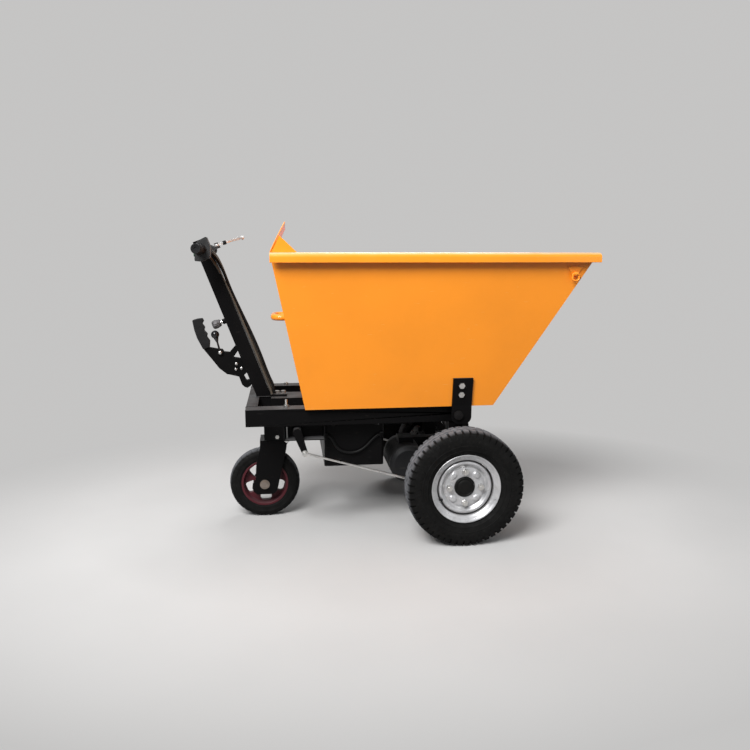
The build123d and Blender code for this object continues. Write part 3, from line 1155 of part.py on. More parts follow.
# Folded lip along the sides and the front, and a flat strip along the rear
LIP_Z = BIN_TOP_Z - LIP_DEPTH
LIP_FRONT_X = front_x(WALL_TOP_Z) + SHEET
LIP_REAR_X = rear_x(WALL_TOP_Z)
with BuildPart() as bin_rim:
    for side in (-1, 1):
        wall_y = side_y(WALL_TOP_Z) - SHEET
        fold = [(wall_y, WALL_TOP_Z), (wall_y, BIN_TOP_Z), (LIP_HALF, BIN_TOP_Z), (LIP_HALF, LIP_Z)]
        fold += [(LIP_HALF - SHEET, LIP_Z), (LIP_HALF - SHEET, WALL_TOP_Z)]
        lip_face = outline(Plane.YZ.offset(LIP_REAR_X), [(side * y, z) for y, z in fold])
        extrude(lip_face, amount=LIP_FRONT_X - LIP_REAR_X)
    front_half = LIP_HALF - SHEET
    front_inner_x = LIP_FRONT_X - SHEET - FRONT_SHEET
    strip_half = side_y(WALL_TOP_Z) - SHEET
    block((front_inner_x, LIP_FRONT_X), (-strip_half, strip_half), (WALL_TOP_Z, BIN_TOP_Z))
    block((LIP_FRONT_X - SHEET, LIP_FRONT_X), (-front_half, front_half), (LIP_Z, WALL_TOP_Z))
    block((LIP_REAR_X, LIP_REAR_X + SHEET), (-strip_half, strip_half), (WALL_TOP_Z, BIN_TOP_Z))
bin_rim.part.label = "bin_rim"
export_step(bin_rim.part, "parts/bin_rim.step")

# Splash guard: a plate over the rear wall that leans inwards, with a gusset at each end
SPLASH_SCALE = hypot(SPLASH_LEAN, 1.0)
SPLASH_LENGTH = SPLASH_HEIGHT * SPLASH_SCALE
SPLASH_HALF = 366.0
SPLASH_TOP_HALF = 300.0
SPLASH_SHOULDER = 58.0
SPLASH_PLANE = Plane(
    origin=(LIP_REAR_X, 0, BIN_TOP_Z + 1.4),
    x_dir=(0, 1, 0),
    z_dir=(1 / SPLASH_SCALE, 0, -SPLASH_LEAN / SPLASH_SCALE),
)
GUSSET_Y = (359.0, 363.0)
GUSSET_OUTLINE = [
    (LIP_REAR_X + 4, BIN_TOP_Z + 0.1),
    (LIP_REAR_X + 31, BIN_TOP_Z + 53),
    (LIP_REAR_X + 86, BIN_TOP_Z + 0.1),
]
with BuildPart() as splash_guard:
    guard = [(-SPLASH_HALF, 0), (SPLASH_HALF, 0), (SPLASH_HALF, SPLASH_SHOULDER)]
    guard += [(SPLASH_TOP_HALF, SPLASH_LENGTH), (-SPLASH_TOP_HALF, SPLASH_LENGTH)]
    guard += [(-SPLASH_HALF, SPLASH_SHOULDER)]
    extrude(outline(SPLASH_PLANE, guard), amount=SHEET)
    for side in (-1, 1):
        plate(GUSSET_OUTLINE, side * GUSSET_Y[0], side * GUSSET_Y[1])
splash_guard.part.label = "splash_guard"
export_step(splash_guard.part, "parts/splash_guard.step")

# Grab handle of bent tube on the rear wall
HANDLE_ROOT_X = rear_x(HANDLE_Z) + 8.0
REAR_WALL_PLANE = Plane(
    origin=(rear_x(HANDLE_Z), 0, HANDLE_Z),
    x_dir=(0, 1, 0),
    z_dir=(-1, 0, -REAR_LEAN),
)
with BuildPart() as grab_handle:
    with BuildLine() as handle_path:
        FilletPolyline(
            (HANDLE_ROOT_X, -HANDLE_HALF, HANDLE_Z),
            (HANDLE_X, -HANDLE_HALF, HANDLE_Z),
            (HANDLE_X, HANDLE_HALF, HANDLE_Z),
            (HANDLE_ROOT_X, HANDLE_HALF, HANDLE_Z),
            radius=HANDLE_BEND,
        )
    with BuildSketch(Plane(origin=handle_path.wire() @ 0, z_dir=(-1, 0, 0))) as handle_section:
        Circle(HANDLE_R)
    sweep(sections=handle_section.sketch, path=handle_path.wire())
    split(bisect_by=REAR_WALL_PLANE, keep=Keep.TOP)
grab_handle.part.label = "grab_handle"
export_step(grab_handle.part, "parts/grab_handle.step")

# Hinge plates: flat on the bin's side, then bent upright beside the rail
BEND_Z = FLOOR_Z + 2
HINGE_LOW_Z = PIVOT_Z - 34
HINGE_ROUND = 28.0
with BuildPart() as hinge_plates:
    for side in (-1, 1):
        top_y = side_y(HINGE_PLATE_TOP) + PLATE_GAP
        low_y = side_y(BEND_Z) + PLATE_GAP
        profile = [(top_y, HINGE_PLATE_TOP), (low_y, BEND_Z), (low_y, HINGE_LOW_Z)]
        profile += [(y + HINGE_PLATE_T, z) for y, z in reversed(profile)]
        start = Plane.YZ.offset(HINGE_PLATE_X - HINGE_PLATE_WIDTH / 2)
        extrude(outline(start, [(side * y, z) for y, z in profile]), amount=HINGE_PLATE_WIDTH)
        pin_y = (side * low_y, side * (low_y + HINGE_PLATE_T))
        bar_y(PIVOT_X, PIVOT_Z, HINGE_PIN_R + HOLD, pin_y[0], pin_y[1], Mode.SUBTRACT)
        for bolt_z in HINGE_BOLT_ZS:
            hole = disc(bolt_plane(side, bolt_z), 0, 0, HINGE_BOLT_R + HOLD)
            extrude(hole, amount=-HINGE_PLATE_T - SHEET, mode=Mode.SUBTRACT)
    fillet(hinge_plates.edges().filter_by(Axis.Y).group_by(Axis.Z)[0], HINGE_ROUND)
hinge_plates.part.label = "hinge_plates"
export_step(hinge_plates.part, "parts/hinge_plates.step")

# Bolts of the hinge plates and the two hinge pins
HINGE_HEAD = (19.0, 7.5)
HINGE_NUT = (19.0, 9.0)
HINGE_GRIP = HINGE_PLATE_T + SHEET
PIN_HEAD = (HINGE_PIN_R + 6, 7.0)
PIN_COLLAR = (HINGE_PIN_R + 5, 6.0)
PIN_END_Y = RAIL_INNER - 8
with BuildPart() as hinge_bolts:
    for side in (-1, 1):
        plate_y = side_y(BEND_Z) + PLATE_GAP + HINGE_PLATE_T
        bar_y(PIVOT_X, PIVOT_Z, HINGE_PIN_R, side * PIN_END_Y, side * plate_y)
        bar_y(PIVOT_X, PIVOT_Z, PIN_HEAD[0], side * plate_y, side * (plate_y + PIN_HEAD[1]))
        bar_y(PIVOT_X, PIVOT_Z, PIN_COLLAR[0], side * PIN_END_Y, side * (PIN_END_Y + PIN_COLLAR[1]))
        for bolt_z in HINGE_BOLT_ZS:
            face = bolt_plane(side, bolt_z)
            hex_bar(face, 0, 0, *HINGE_HEAD)
            extrude(disc(face, 0, 0, HINGE_BOLT_R), amount=-HINGE_GRIP - HINGE_NUT[1] - 2)
            hex_bar(face.offset(-HINGE_GRIP - HINGE_NUT[1] - 0.5), 0, 0, *HINGE_NUT)
hinge_bolts.part.label = "hinge_bolts"
export_step(hinge_bolts.part, "parts/hinge_bolts.step")

# Lashing tabs with a sleeve each, and the rings that swing in them
TAB_X = AXLE_X + 366.0
TAB_Z = 924.0
TAB_T = 4.0
SLEEVE_R = 6.5
SLEEVE_HALF = 7.0
RING_R = 3.0
RING_HALF = 11.0
RING_DROP = 22.0
RING_OUT = TAB_T + SLEEVE_R + 1.0


def tab_plane(side):
    """Plane on the outer face of a side wall at a lashing tab."""
    origin = (TAB_X, side * (side_y(TAB_Z) + PLATE_GAP), TAB_Z)
    return Plane(origin=origin, x_dir=(1, 0, 0), z_dir=(0, side, -SIDE_LEAN))


def ring_middle(side):
    """Point on the swing axis of a lashing ring."""
    return tab_plane(side).from_local_coords(Vector(0, 0, RING_OUT))


with BuildPart() as lashing_tabs:
    for side in (-1, 1):
        tab = [(-27, side * -24), (25, side * -24), (0, side * 25)]
        extrude(outline(tab_plane(side), tab), amount=TAB_T)
        middle = ring_middle(side)
        sleeve_plane = Plane(origin=middle - Vector(SLEEVE_HALF, 0, 0), x_dir=(0, 1, 0), z_dir=(1, 0, 0))
        extrude(disc(sleeve_plane, 0, 0, SLEEVE_R), amount=2 * SLEEVE_HALF)
        block(
            (TAB_X - SLEEVE_HALF, TAB_X + SLEEVE_HALF),
            (side * (side_y(TAB_Z) + 1.5), middle.Y),
            (middle.Z - 4, middle.Z + 4),
        )
        extrude(disc(sleeve_plane, 0, 0, RING_R + RUN), amount=2 * SLEEVE_HALF, mode=Mode.SUBTRACT)
lashing_tabs.part.label = "lashing_tabs"
export_step(lashing_tabs.part, "parts/lashing_tabs.step")

for side, name in ((-1, "right"), (1, "left")):
    with BuildPart() as lashing_ring:
        middle = ring_middle(side)
        ring_plane = Plane(origin=middle, x_dir=(1, 0, 0), z_dir=(0, -1, 0))
        with BuildLine(ring_plane) as ring_path:
            FilletPolyline(
                (RING_HALF, 0),
                (RING_HALF, -RING_DROP),
                (-RING_HALF, -RING_DROP),
                (-RING_HALF, 0),
                radius=[3.5, 9, 9, 3.5],
                close=True,
            )
        with BuildSketch(Plane(origin=ring_path.wire() @ 0, z_dir=ring_path.wire() % 0)) as ring_section:
            Circle(RING_R)
        sweep(sections=ring_section.sketch, path=ring_path.wire())
    lashing_ring.part.label = f"{name}_lashing_ring"
    export_step(lashing_ring.part, f"parts/{name}_lashing_ring.step")
    print(name, "ring axis through", [round(v, 2) for v in tuple(middle)])
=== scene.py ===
import json
from math import cos, hypot, pi, radians, sin

import bmesh
import bpy
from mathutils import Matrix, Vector


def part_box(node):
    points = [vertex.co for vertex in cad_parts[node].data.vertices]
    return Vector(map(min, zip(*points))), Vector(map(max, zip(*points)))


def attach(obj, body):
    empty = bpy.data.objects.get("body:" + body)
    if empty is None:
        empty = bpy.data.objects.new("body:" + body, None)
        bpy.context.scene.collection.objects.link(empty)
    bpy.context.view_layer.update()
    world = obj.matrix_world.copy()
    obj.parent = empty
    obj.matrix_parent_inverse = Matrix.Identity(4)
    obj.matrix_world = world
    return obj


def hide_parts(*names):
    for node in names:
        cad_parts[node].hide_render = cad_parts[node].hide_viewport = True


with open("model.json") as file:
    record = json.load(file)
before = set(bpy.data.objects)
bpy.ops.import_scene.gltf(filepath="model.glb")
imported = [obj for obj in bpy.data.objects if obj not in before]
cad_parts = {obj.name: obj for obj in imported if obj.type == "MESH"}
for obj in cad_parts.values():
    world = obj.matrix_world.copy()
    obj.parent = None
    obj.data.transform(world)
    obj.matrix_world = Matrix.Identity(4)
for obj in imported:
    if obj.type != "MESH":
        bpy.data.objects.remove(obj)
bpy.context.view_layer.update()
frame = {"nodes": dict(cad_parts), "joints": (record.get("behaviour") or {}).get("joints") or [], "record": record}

NODES = frame["nodes"]
SLOT_OF = {entry["node"]: entry["material_slot"] for entry in frame["record"]["subparts"]}
JOINTS = {joint["name"]: joint for joint in frame["joints"]}
MM = 0.001
SIDES = (("right", -1), ("left", 1))

# Camera of the photograph: place in metres, angles in radians, lens and sensor in millimetres
CAMERA_AT = Vector((-0.3462, -2.6163, 0.9774))
CAMERA_YAW = 0.1251
CAMERA_PITCH = 0.1723
CAMERA_LENS = 33.63
CAMERA_SENSOR = 36.0
CAMERA_SHIFT = 0.0053
CAMERA_FAR = 60.0

scene = bpy.context.scene
scene.view_settings.view_transform = "Standard"


def joint_at(name):
    """Place of a joint at rest."""
    return Vector(JOINTS[name]["pos_m"])


# Materials


def new_material(name, metallic=0.0, roughness=0.5, **sockets):
    """Principled material with constant sockets, and its node tree and shader."""
    material = bpy.data.materials.new(name)
    material.use_nodes = True
    tree = material.node_tree
    shader = tree.nodes["Principled BSDF"]
    shader.inputs["Metallic"].default_value = metallic
    shader.inputs["Roughness"].default_value = roughness
    for socket, value in sockets.items():
        shader.inputs[socket.replace("_", " ")].default_value = value
    return material, tree, shader


def own_place(tree, output="Object"):
    """Place or normal of a point in the piece's own frame."""
    return tree.nodes.new("ShaderNodeTexCoord").outputs[output]


def noise(tree, scale, detail, roughness=0.55, stretch=(1, 1, 1)):
    """Noise on the piece's own coordinates, in metres; returns the factor socket."""
    mapping = tree.nodes.new("ShaderNodeMapping")
    mapping.inputs["Scale"].default_value = stretch
    texture = tree.nodes.new("ShaderNodeTexNoise")
    texture.inputs["Scale"].default_value = scale
    texture.inputs["Detail"].default_value = detail
    texture.inputs["Roughness"].default_value = roughness
    tree.links.new(own_place(tree), mapping.inputs["Vector"])
    tree.links.new(mapping.outputs["Vector"], texture.inputs["Vector"])
    return texture.outputs["Fac"]


def ramp(tree, factor, *stops):
    """Colour ramp over a factor; stops are (place, colour or grey)."""
    node = tree.nodes.new("ShaderNodeValToRGB")
    elements = node.color_ramp.elements
    while len(elements) < len(stops):
        elements.new(0.5)
    for element, (place, colour) in zip(elements, stops):
        element.position = place
        if isinstance(colour, (int, float)):
            colour = (colour, colour, colour)
        element.color = (*colour, 1.0)
    tree.links.new(factor, node.inputs["Fac"])
    return node.outputs["Color"]


def shade(colour, factor):
    """Darker or lighter colour, held to white."""
    return tuple(min(1.0, part * factor) for part in colour)


def mix(tree, factor, low, high):
    """Mix of two colours, each a socket or a colour, by a factor socket."""
    node = tree.nodes.new("ShaderNodeMix")
    node.data_type = "RGBA"
    tree.links.new(factor, node.inputs["Factor"])
    for name, value in (("A", low), ("B", high)):
        socket = [s for s in node.inputs if s.name == name and s.type == "RGBA"][0]
        if isinstance(value, tuple):
            socket.default_value = (*value, 1.0)
        else:
            tree.links.new(value, socket)
    return [s for s in node.outputs if s.type == "RGBA"][0]


def combine(tree, operation, first, second):
    """Product, larger value or the like of two factor sockets."""
    node = tree.nodes.new("ShaderNodeMath")
    node.operation = operation
    tree.links.new(first, node.inputs[0])
    tree.links.new(second, node.inputs[1])
    return node.outputs["Value"]


def bump(tree, shader, *layers):
    """Bump of the shader's surface from (height socket, distance in metres, strength) layers."""
    normal = None
    for height, distance, strength in layers:
        node = tree.nodes.new("ShaderNodeBump")
        node.inputs["Strength"].default_value = strength
        node.inputs["Distance"].default_value = distance
        tree.links.new(height, node.inputs["Height"])
        if normal:
            tree.links.new(normal, node.inputs["Normal"])
        normal = node.outputs["Normal"]
    tree.links.new(normal, shader.inputs["Normal"])


def patchy_gloss(tree, shader, factor, least, most):
    """Roughness that wanders between two values with a factor socket."""
    gloss = ramp(tree, factor, (0.3, least), (0.7, min(1.0, most)))
    tree.links.new(gloss, shader.inputs["Roughness"])


def facing_up(tree, low, high):
    """0 on faces whose normal's Z is low and 1 where it is high, in the piece's own frame."""
    split = tree.nodes.new("ShaderNodeSeparateXYZ")
    tree.links.new(own_place(tree, "Normal"), split.inputs["Vector"])
    return ramp(tree, split.outputs["Z"], (low, 0.0), (high, 1.0))


def edge_wear(tree, reach):
    """1 along edges and corners, 0 on flat faces; the reach is in metres."""
    rounded = tree.nodes.new("ShaderNodeBevel")
    rounded.samples = 4
    rounded.inputs["Radius"].default_value = reach
    place = tree.nodes.new("ShaderNodeNewGeometry")
    alike = tree.nodes.new("ShaderNodeVectorMath")
    alike.operation = "DOT_PRODUCT"
    tree.links.new(rounded.outputs["Normal"], alike.inputs[0])
    tree.links.new(place.outputs["Normal"], alike.inputs[1])
    return ramp(tree, alike.outputs["Value"], (0.9, 1.0), (0.98, 0.0))


def corners(tree, reach):
    """Mask of painted shade: 1 in tight corners, 0 on open faces; the reach is in metres."""
    openness = tree.nodes.new("ShaderNodeAmbientOcclusion")
    openness.samples = 8
    openness.inputs["Distance"].default_value = reach
    return ramp(tree, openness.outputs["AO"], (0.2, 0.85), (0.8, 0.0))


def from_axis(tree, middle):
    """Distance of a point, in metres, from an axis along Y through a middle."""
    flat = tree.nodes.new("ShaderNodeMapping")
    flat.inputs["Location"].default_value = (-middle.x, 0, -middle.z)
    flat.inputs["Scale"].default_value = (1, 0, 1)
    length = tree.nodes.new("ShaderNodeVectorMath")
    length.operation = "LENGTH"
    tree.links.new(own_place(tree), flat.inputs["Vector"])
    tree.links.new(flat.outputs["Vector"], length.inputs[0])
    return length.outputs["Value"]


ORANGE_PEEL = 0.0004


def paint(name, colour, worn, roughness, shine, dust, dust_and_highlight_on_top, waves=ORANGE_PEEL, coat=0.0):
    """Sprayed paint: patchy tone, orange peel, dust and painted highlight on faces that look up, worn edges and
    scratches.
    """
    material, tree, shader = new_material(
        name, Specular_IOR_Level=shine, Coat_Weight=coat, Coat_Roughness=0.12
    )
    patches = noise(tree, scale=3.5, detail=5.0)
    tone = ramp(tree, patches, (0.3, shade(colour, 0.94)), (0.52, colour), (0.75, shade(colour, 1.05)))
    chips = ramp(tree, noise(tree, scale=60.0, detail=6.0), (0.5, 0.0), (0.6, 1.0))
    chipped_edges = combine(tree, "MULTIPLY", edge_wear(tree, reach=0.0012), chips)
    tone = mix(tree, chipped_edges, tone, worn)
    streaks = noise(tree, scale=26.0, detail=3.0, roughness=0.5, stretch=(1, 14, 9))
    scratches = ramp(tree, streaks, (0.70, 0.0), (0.74, 0.35))
    tone = mix(tree, scratches, tone, worn)
    # Dust and painted highlight: a paler tone in drifts on faces that look up, where light from above falls
    drifts = noise(tree, scale=11.0, detail=8.0, roughness=0.65)
    amount = ramp(tree, drifts, (0.3, dust_and_highlight_on_top * 0.45), (0.7, dust_and_highlight_on_top))
    dust_and_highlight_tops = combine(tree, "MULTIPLY", facing_up(tree, low=0.45, high=0.8), amount)
    tone = mix(tree, dust_and_highlight_tops, tone, dust)
    tree.links.new(tone, shader.inputs["Base Color"])
    patchy_gloss(tree, shader, noise(tree, scale=14.0, detail=6.0), roughness * 0.8, roughness * 1.25)
    unevenness = (noise(tree, scale=5.0, detail=2.0), waves * 8, 0.25)
    orange_peel = (noise(tree, scale=320.0, detail=3.0), waves, 0.3)
    bump(tree, shader, unevenness, orange_peel)
    return material


def metal(name, colour, roughness, grain, stain=None, metallic=1.0, corner_shade=None):
    """Bare, plated or sprayed metal with fine grain and, where asked, stains and painted shade in its corners."""
    material, tree, shader = new_material(name, metallic=metallic)
    patches = noise(tree, scale=30.0, detail=6.0, roughness=0.6)
    tone = ramp(tree, patches, (0.3, shade(colour, 0.76)), (0.6, colour))
    if stain:
        stains = ramp(tree, noise(tree, scale=55.0, detail=7.0), (0.6, 0.0), (0.75, 0.7))
        tone = mix(tree, stains, tone, stain)
    # Painted shade: the metal is darkened in its tight corners, where shade falls
    if corner_shade:
        tone = mix(tree, corners(tree, reach=0.012), tone, corner_shade)
    tree.links.new(tone, shader.inputs["Base Color"])
    wiped = noise(tree, scale=90.0, detail=4.0, roughness=0.6)
    patchy_gloss(tree, shader, wiped, roughness * 0.75, roughness * 1.35)
    bump(tree, shader, (noise(tree, scale=400.0, detail=2.0, roughness=0.5), grain, 0.3))
    return material


def rubber(name, colour, dusty, dust_amount, roughness, grain=0.0003, tread=None):
    """Black rubber with dust in drifts and a fine grain; a tread is its middle, its outer radius and the
    depth of the scuffed and dusty band, in metres."""
    material, tree, shader = new_material(name, Specular_IOR_Level=0.1)
    tone = ramp(tree, noise(tree, scale=20.0, detail=6.0), (0.3, shade(colour, 0.7)), (0.7, colour))
    drifts = noise(tree, scale=34.0, detail=9.0, roughness=0.7)
    tone = mix(tree, ramp(tree, drifts, (0.45, 0.0), (0.8, dust_amount)), tone, dusty)
    if tread:
        middle, outer, depth = tread
        band = ramp(tree, from_axis(tree, middle), (outer - depth, 0.0), (outer - depth * 0.2, 1.0))
        patches = ramp(tree, noise(tree, scale=50.0, detail=8.0, roughness=0.7), (0.3, 0.35), (0.7, 0.8))
        tone = mix(tree, combine(tree, "MULTIPLY", band, patches), tone, SCUFFED)
    tree.links.new(tone, shader.inputs["Base Color"])
    patchy_gloss(tree, shader, noise(tree, scale=60.0, detail=5.0), roughness * 0.85, roughness * 1.15)
    bump(tree, shader, (noise(tree, scale=700.0, detail=3.0), grain, 0.4))
    return material


def moulding(name, colour, roughness, grain, fleck=None, shine=0.5):
    """Moulded plastic with a fine texture and, where asked, flecks of a second colour."""
    material, tree, shader = new_material(name, Specular_IOR_Level=shine)
    tone = ramp(tree, noise(tree, scale=25.0, detail=5.0), (0.3, shade(colour, 0.8)), (0.7, colour))
    if fleck:
        flecks = ramp(tree, noise(tree, scale=120.0, detail=6.0), (0.5, 0.0), (0.58, 1.0))
        tone = mix(tree, flecks, tone, fleck)
    tree.links.new(tone, shader.inputs["Base Color"])
    patchy_gloss(tree, shader, noise(tree, scale=40.0, detail=5.0), roughness * 0.85, roughness * 1.2)
    bump(tree, shader, (noise(tree, scale=900.0, detail=2.0), grain, 0.3))
    return material


AXLE = joint_at("right_wheel_spin")
CASTOR = joint_at("castor_wheel_spin")
TYRE_LOW, TYRE_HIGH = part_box("right_tyre")
CASTOR_LOW, CASTOR_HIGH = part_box("castor_tyre")
TYRE_R = (TYRE_HIGH.z - TYRE_LOW.z) / 2
CASTOR_R = (CASTOR_HIGH.z - CASTOR_LOW.z) / 2
TREAD_DEPTH = 0.005

DUST = (0.16, 0.158, 0.16)
DULL_DUST = (0.07, 0.068, 0.066)
SCUFFED = (0.25, 0.257, 0.275)
# Pale tone on the bin's faces that look up: dust, and a painted highlight of the light from above
BIN_DUST_AND_HIGHLIGHT = (0.6, 0.48, 0.29)
BIN_ORANGE = (0.955, 0.30, 0.016)
PALE_ORANGE = (0.95, 0.46, 0.14)
FRAME_BLACK = (0.0034, 0.0032, 0.0034)
BOLT_BLACK = (0.012, 0.011, 0.011)
FRAME_WORN = (0.06, 0.055, 0.05)
CASTOR_RED = (0.07, 0.012, 0.017)
CASTOR_WORN = (0.15, 0.1, 0.09)
CAST_BLACK = (0.012, 0.012, 0.013)
CAST_WORN = (0.08, 0.07, 0.06)
TYRE_BLACK = (0.0062, 0.006, 0.0058)
GRIP_BLACK = (0.014, 0.014, 0.015)
CABLE_BLACK = (0.008, 0.008, 0.008)
CABLE_GREY = (0.1, 0.088, 0.072)
SILVER = (0.55, 0.55, 0.56)
SILVER_STAIN = (0.34, 0.32, 0.3)
# Colour of the shade painted into the rim's corners, round its nuts, pads and flange
SILVER_CORNER_SHADE = (0.1, 0.09, 0.085)
ALLOY = (0.86, 0.85, 0.84)
ZINC = (0.68, 0.67, 0.65)
SHADED_ZINC = (0.5, 0.49, 0.47)
ZINC_STAIN = (0.36, 0.34, 0.31)
OLD_ZINC = (0.34, 0.29, 0.25)
RUST_STAIN = (0.12, 0.07, 0.045)
HOUSING_BLACK = (0.011, 0.011, 0.0115)
KNOB_BLACK = (0.008, 0.008, 0.009)
CAP_BLACK = (0.006, 0.0058, 0.0055)
KNOB_GREY = (0.12, 0.114, 0.12)
KNOB_FLECK = (0.04, 0.038, 0.037)
HORN_GREEN = (0.006, 0.05, 0.016)


def bin_paint(name, dust_and_highlight_on_top):
    """The bin's orange paint, with more or less dust and painted highlight on its faces that look up."""
    return paint(name, BIN_ORANGE, PALE_ORANGE, roughness=0.36, shine=0.3, dust=BIN_DUST_AND_HIGHLIGHT,
                 dust_and_highlight_on_top=dust_and_highlight_on_top, coat=0.4)


def dusty_paint(name, colour, worn, roughness, shine, dust_and_highlight_on_top, waves=ORANGE_PEEL):
    """Plain paint under road dust."""
    return paint(name, colour, worn, roughness, shine, DUST, dust_and_highlight_on_top, waves)


def tyre_rubber(name, middle, outer):
    """Rubber of a tyre whose tread is scuffed and dusty."""
    return rubber(name, TYRE_BLACK, DULL_DUST, dust_amount=0.1, roughness=0.7,
                  tread=(middle, outer, TREAD_DEPTH))


def sheath(name, colour):
    """Smooth rubber round a cable."""
    return rubber(name, colour, DULL_DUST, dust_amount=0.12, roughness=0.42, grain=0.0001)


MATERIALS = {
    "bin_orange": bin_paint("bin_orange", dust_and_highlight_on_top=0.2),
    "frame_black": dusty_paint("frame_black", FRAME_BLACK, FRAME_WORN, roughness=0.4, shine=0.08,
                               dust_and_highlight_on_top=0.55),
    "rim_silver": metal("rim_silver", SILVER, roughness=0.34, grain=0.0003, stain=SILVER_STAIN,
                        metallic=0.5, corner_shade=SILVER_CORNER_SHADE),
    "tyre_black": tyre_rubber("tyre_black", AXLE, TYRE_R),
    "castor_red": dusty_paint("castor_red", CASTOR_RED, CASTOR_WORN, roughness=0.45, shine=0.25,
                              dust_and_highlight_on_top=0.2),
    "zinc_steel": metal("zinc_steel", ZINC, roughness=0.32, grain=0.0001, stain=ZINC_STAIN),
    "bare_alloy": metal("bare_alloy", ALLOY, roughness=0.4, grain=0.0001, metallic=0.8),
    "cast_dark": dusty_paint("cast_dark", CAST_BLACK, CAST_WORN, roughness=0.6, shine=0.25,
                             dust_and_highlight_on_top=0.4, waves=0.001),
    "grip_rubber": rubber("grip_rubber", GRIP_BLACK, DULL_DUST, dust_amount=0.12, roughness=0.6),
    "black_plastic": moulding("black_plastic", HOUSING_BLACK, roughness=0.46, grain=0.0002),
    "knob_plastic": moulding("knob_plastic", KNOB_BLACK, roughness=0.14, grain=0.00005),
    "grey_plastic": moulding("grey_plastic", KNOB_GREY, roughness=0.42, grain=0.0002, fleck=KNOB_FLECK),
    "green_plastic": moulding("green_plastic", HORN_GREEN, roughness=0.4, grain=0.0001, shine=0.2),
    "cable_black": sheath("cable_black", CABLE_BLACK),
}
# The lip's rounded top takes a strong painted highlight: a pale band along it, with some dust
LIP_HIGHLIGHT_PAINT = bin_paint("lip_orange_highlighted", dust_and_highlight_on_top=0.85)
CASTOR_RUBBER = tyre_rubber("castor_rubber", CASTOR, CASTOR_R)
GREY_SHEATH = sheath("grey_sheath", CABLE_GREY)
CAP_PLASTIC = moulding("cap_plastic", CAP_BLACK, roughness=0.5, grain=0.0002, shine=0.15)
DULL_ZINC = metal("dull_zinc", OLD_ZINC, roughness=0.5, grain=0.0001, stain=RUST_STAIN)

PLATING_BLEND = 0.004
PLATED_BEHIND_X = -0.3
PLATED_ABOVE_Z = 0.48


def plated_or_painted(name, axis, edge, plated_above):
    """Fasteners that are plated on one side of a place along an axis, in metres, and painted on the other.
    The place is halved and shifted, because a ramp reads from 0 to 1 only."""
    material, tree, shader = new_material(name, Specular_IOR_Level=0.15)
    halved = tree.nodes.new("ShaderNodeMapping")
    halved.inputs["Location"].default_value = (0.5, 0.5, 0.5)
    halved.inputs["Scale"].default_value = (0.5, 0.5, 0.5)
    split = tree.nodes.new("ShaderNodeSeparateXYZ")
    tree.links.new(own_place(tree), halved.inputs["Vector"])
    tree.links.new(halved.outputs["Vector"], split.inputs["Vector"])
    place = 0.5 + edge / 2
    low, high = (0.0, 1.0) if plated_above else (1.0, 0.0)
    plated = ramp(tree, split.outputs[axis], (place - PLATING_BLEND, low), (place + PLATING_BLEND, high))
    zinc = ramp(tree, noise(tree, scale=30.0, detail=6.0), (0.3, SHADED_ZINC), (0.6, ZINC))
    black = ramp(tree, noise(tree, scale=30.0, detail=6.0), (0.3, FRAME_BLACK), (0.6, BOLT_BLACK))
    tree.links.new(mix(tree, plated, black, zinc), shader.inputs["Base Color"])
    tree.links.new(plated, shader.inputs["Metallic"])
    patchy_gloss(tree, shader, noise(tree, scale=90.0, detail=4.0), least=0.26, most=0.42)
    bump(tree, shader, (noise(tree, scale=400.0, detail=2.0), 0.0001, 0.3))
    return material


OWN_MATERIAL = {
    "frame_fasteners": plated_or_painted("fastener_steel", "X", PLATED_BEHIND_X, plated_above=False),
    "hinge_bolts": plated_or_painted("hinge_steel", "Z", PLATED_ABOVE_Z, plated_above=True),
    "castor_axle_bolt": DULL_ZINC,
    "motor_controller": MATERIALS["cast_dark"],
}
EDGE_MM = {"right_rail": 1.8, "left_rail": 1.8, "centre_beam": 1.8, "cross_members": 1.6, "column": 2.0}
SMALL_EDGE_MM = 1.0
SHARP_EDGED = ("bin_right_wall", "bin_left_wall")
EDGE_ANGLE = radians(40)
WELD_REACH = 0.00002


def dress_node(name, node):
    """CAD node with its material and small rounded edges, which the drilled sheets go without."""
    node.data.materials.clear()
    node.data.materials.append(OWN_MATERIAL.get(name, MATERIALS[SLOT_OF[name]]))
    if name in SHARP_EDGED:
        return
    weld = node.modifiers.new("weld", "WELD")
    weld.merge_threshold = WELD_REACH
    edges = node.modifiers.new("edges", "BEVEL")
    edges.width = EDGE_MM.get(name, SMALL_EDGE_MM) * MM
    edges.segments = 2
    edges.limit_method = "ANGLE"
    edges.angle_limit = EDGE_ANGLE
    edges.harden_normals = True


for node_name, node_object in NODES.items():
    dress_node(node_name, node_object)


# Mesh helpers


def new_piece(name, form, slot, body, replaced=(), sharp=32.0, material=None):
    """Piece from a finished bmesh: smooth but for sharp edges, dressed, and riding on a body."""
    bmesh.ops.recalc_face_normals(form, faces=form.faces)
    for face in form.faces:
        face.smooth = True
    for edge in form.edges:
        edge.smooth = edge.calc_face_angle(0.0) < radians(sharp)
    mesh = bpy.data.meshes.new(name)
    form.to_mesh(mesh)
    form.free()
    mesh.materials.append(material or MATERIALS[slot])
    piece = bpy.data.objects.new(name, mesh)
    scene.collection.objects.link(piece)
    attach(piece, body)
    if replaced:
        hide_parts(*replaced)


def axes_about(axis):
    """An axis at unit length and two directions square to it; about Y they are X and Z."""
    axis = Vector(axis).normalized()
    start = Vector((1, 0, 0)) if abs(axis.x) < 0.9 else Vector((0, 1, 0))
    first = (start - axis * start.dot(axis)).normalized()
    second = Vector((0, 0, 1)) if abs(axis.y) > 0.999 else axis.cross(first)
    return axis, first, second


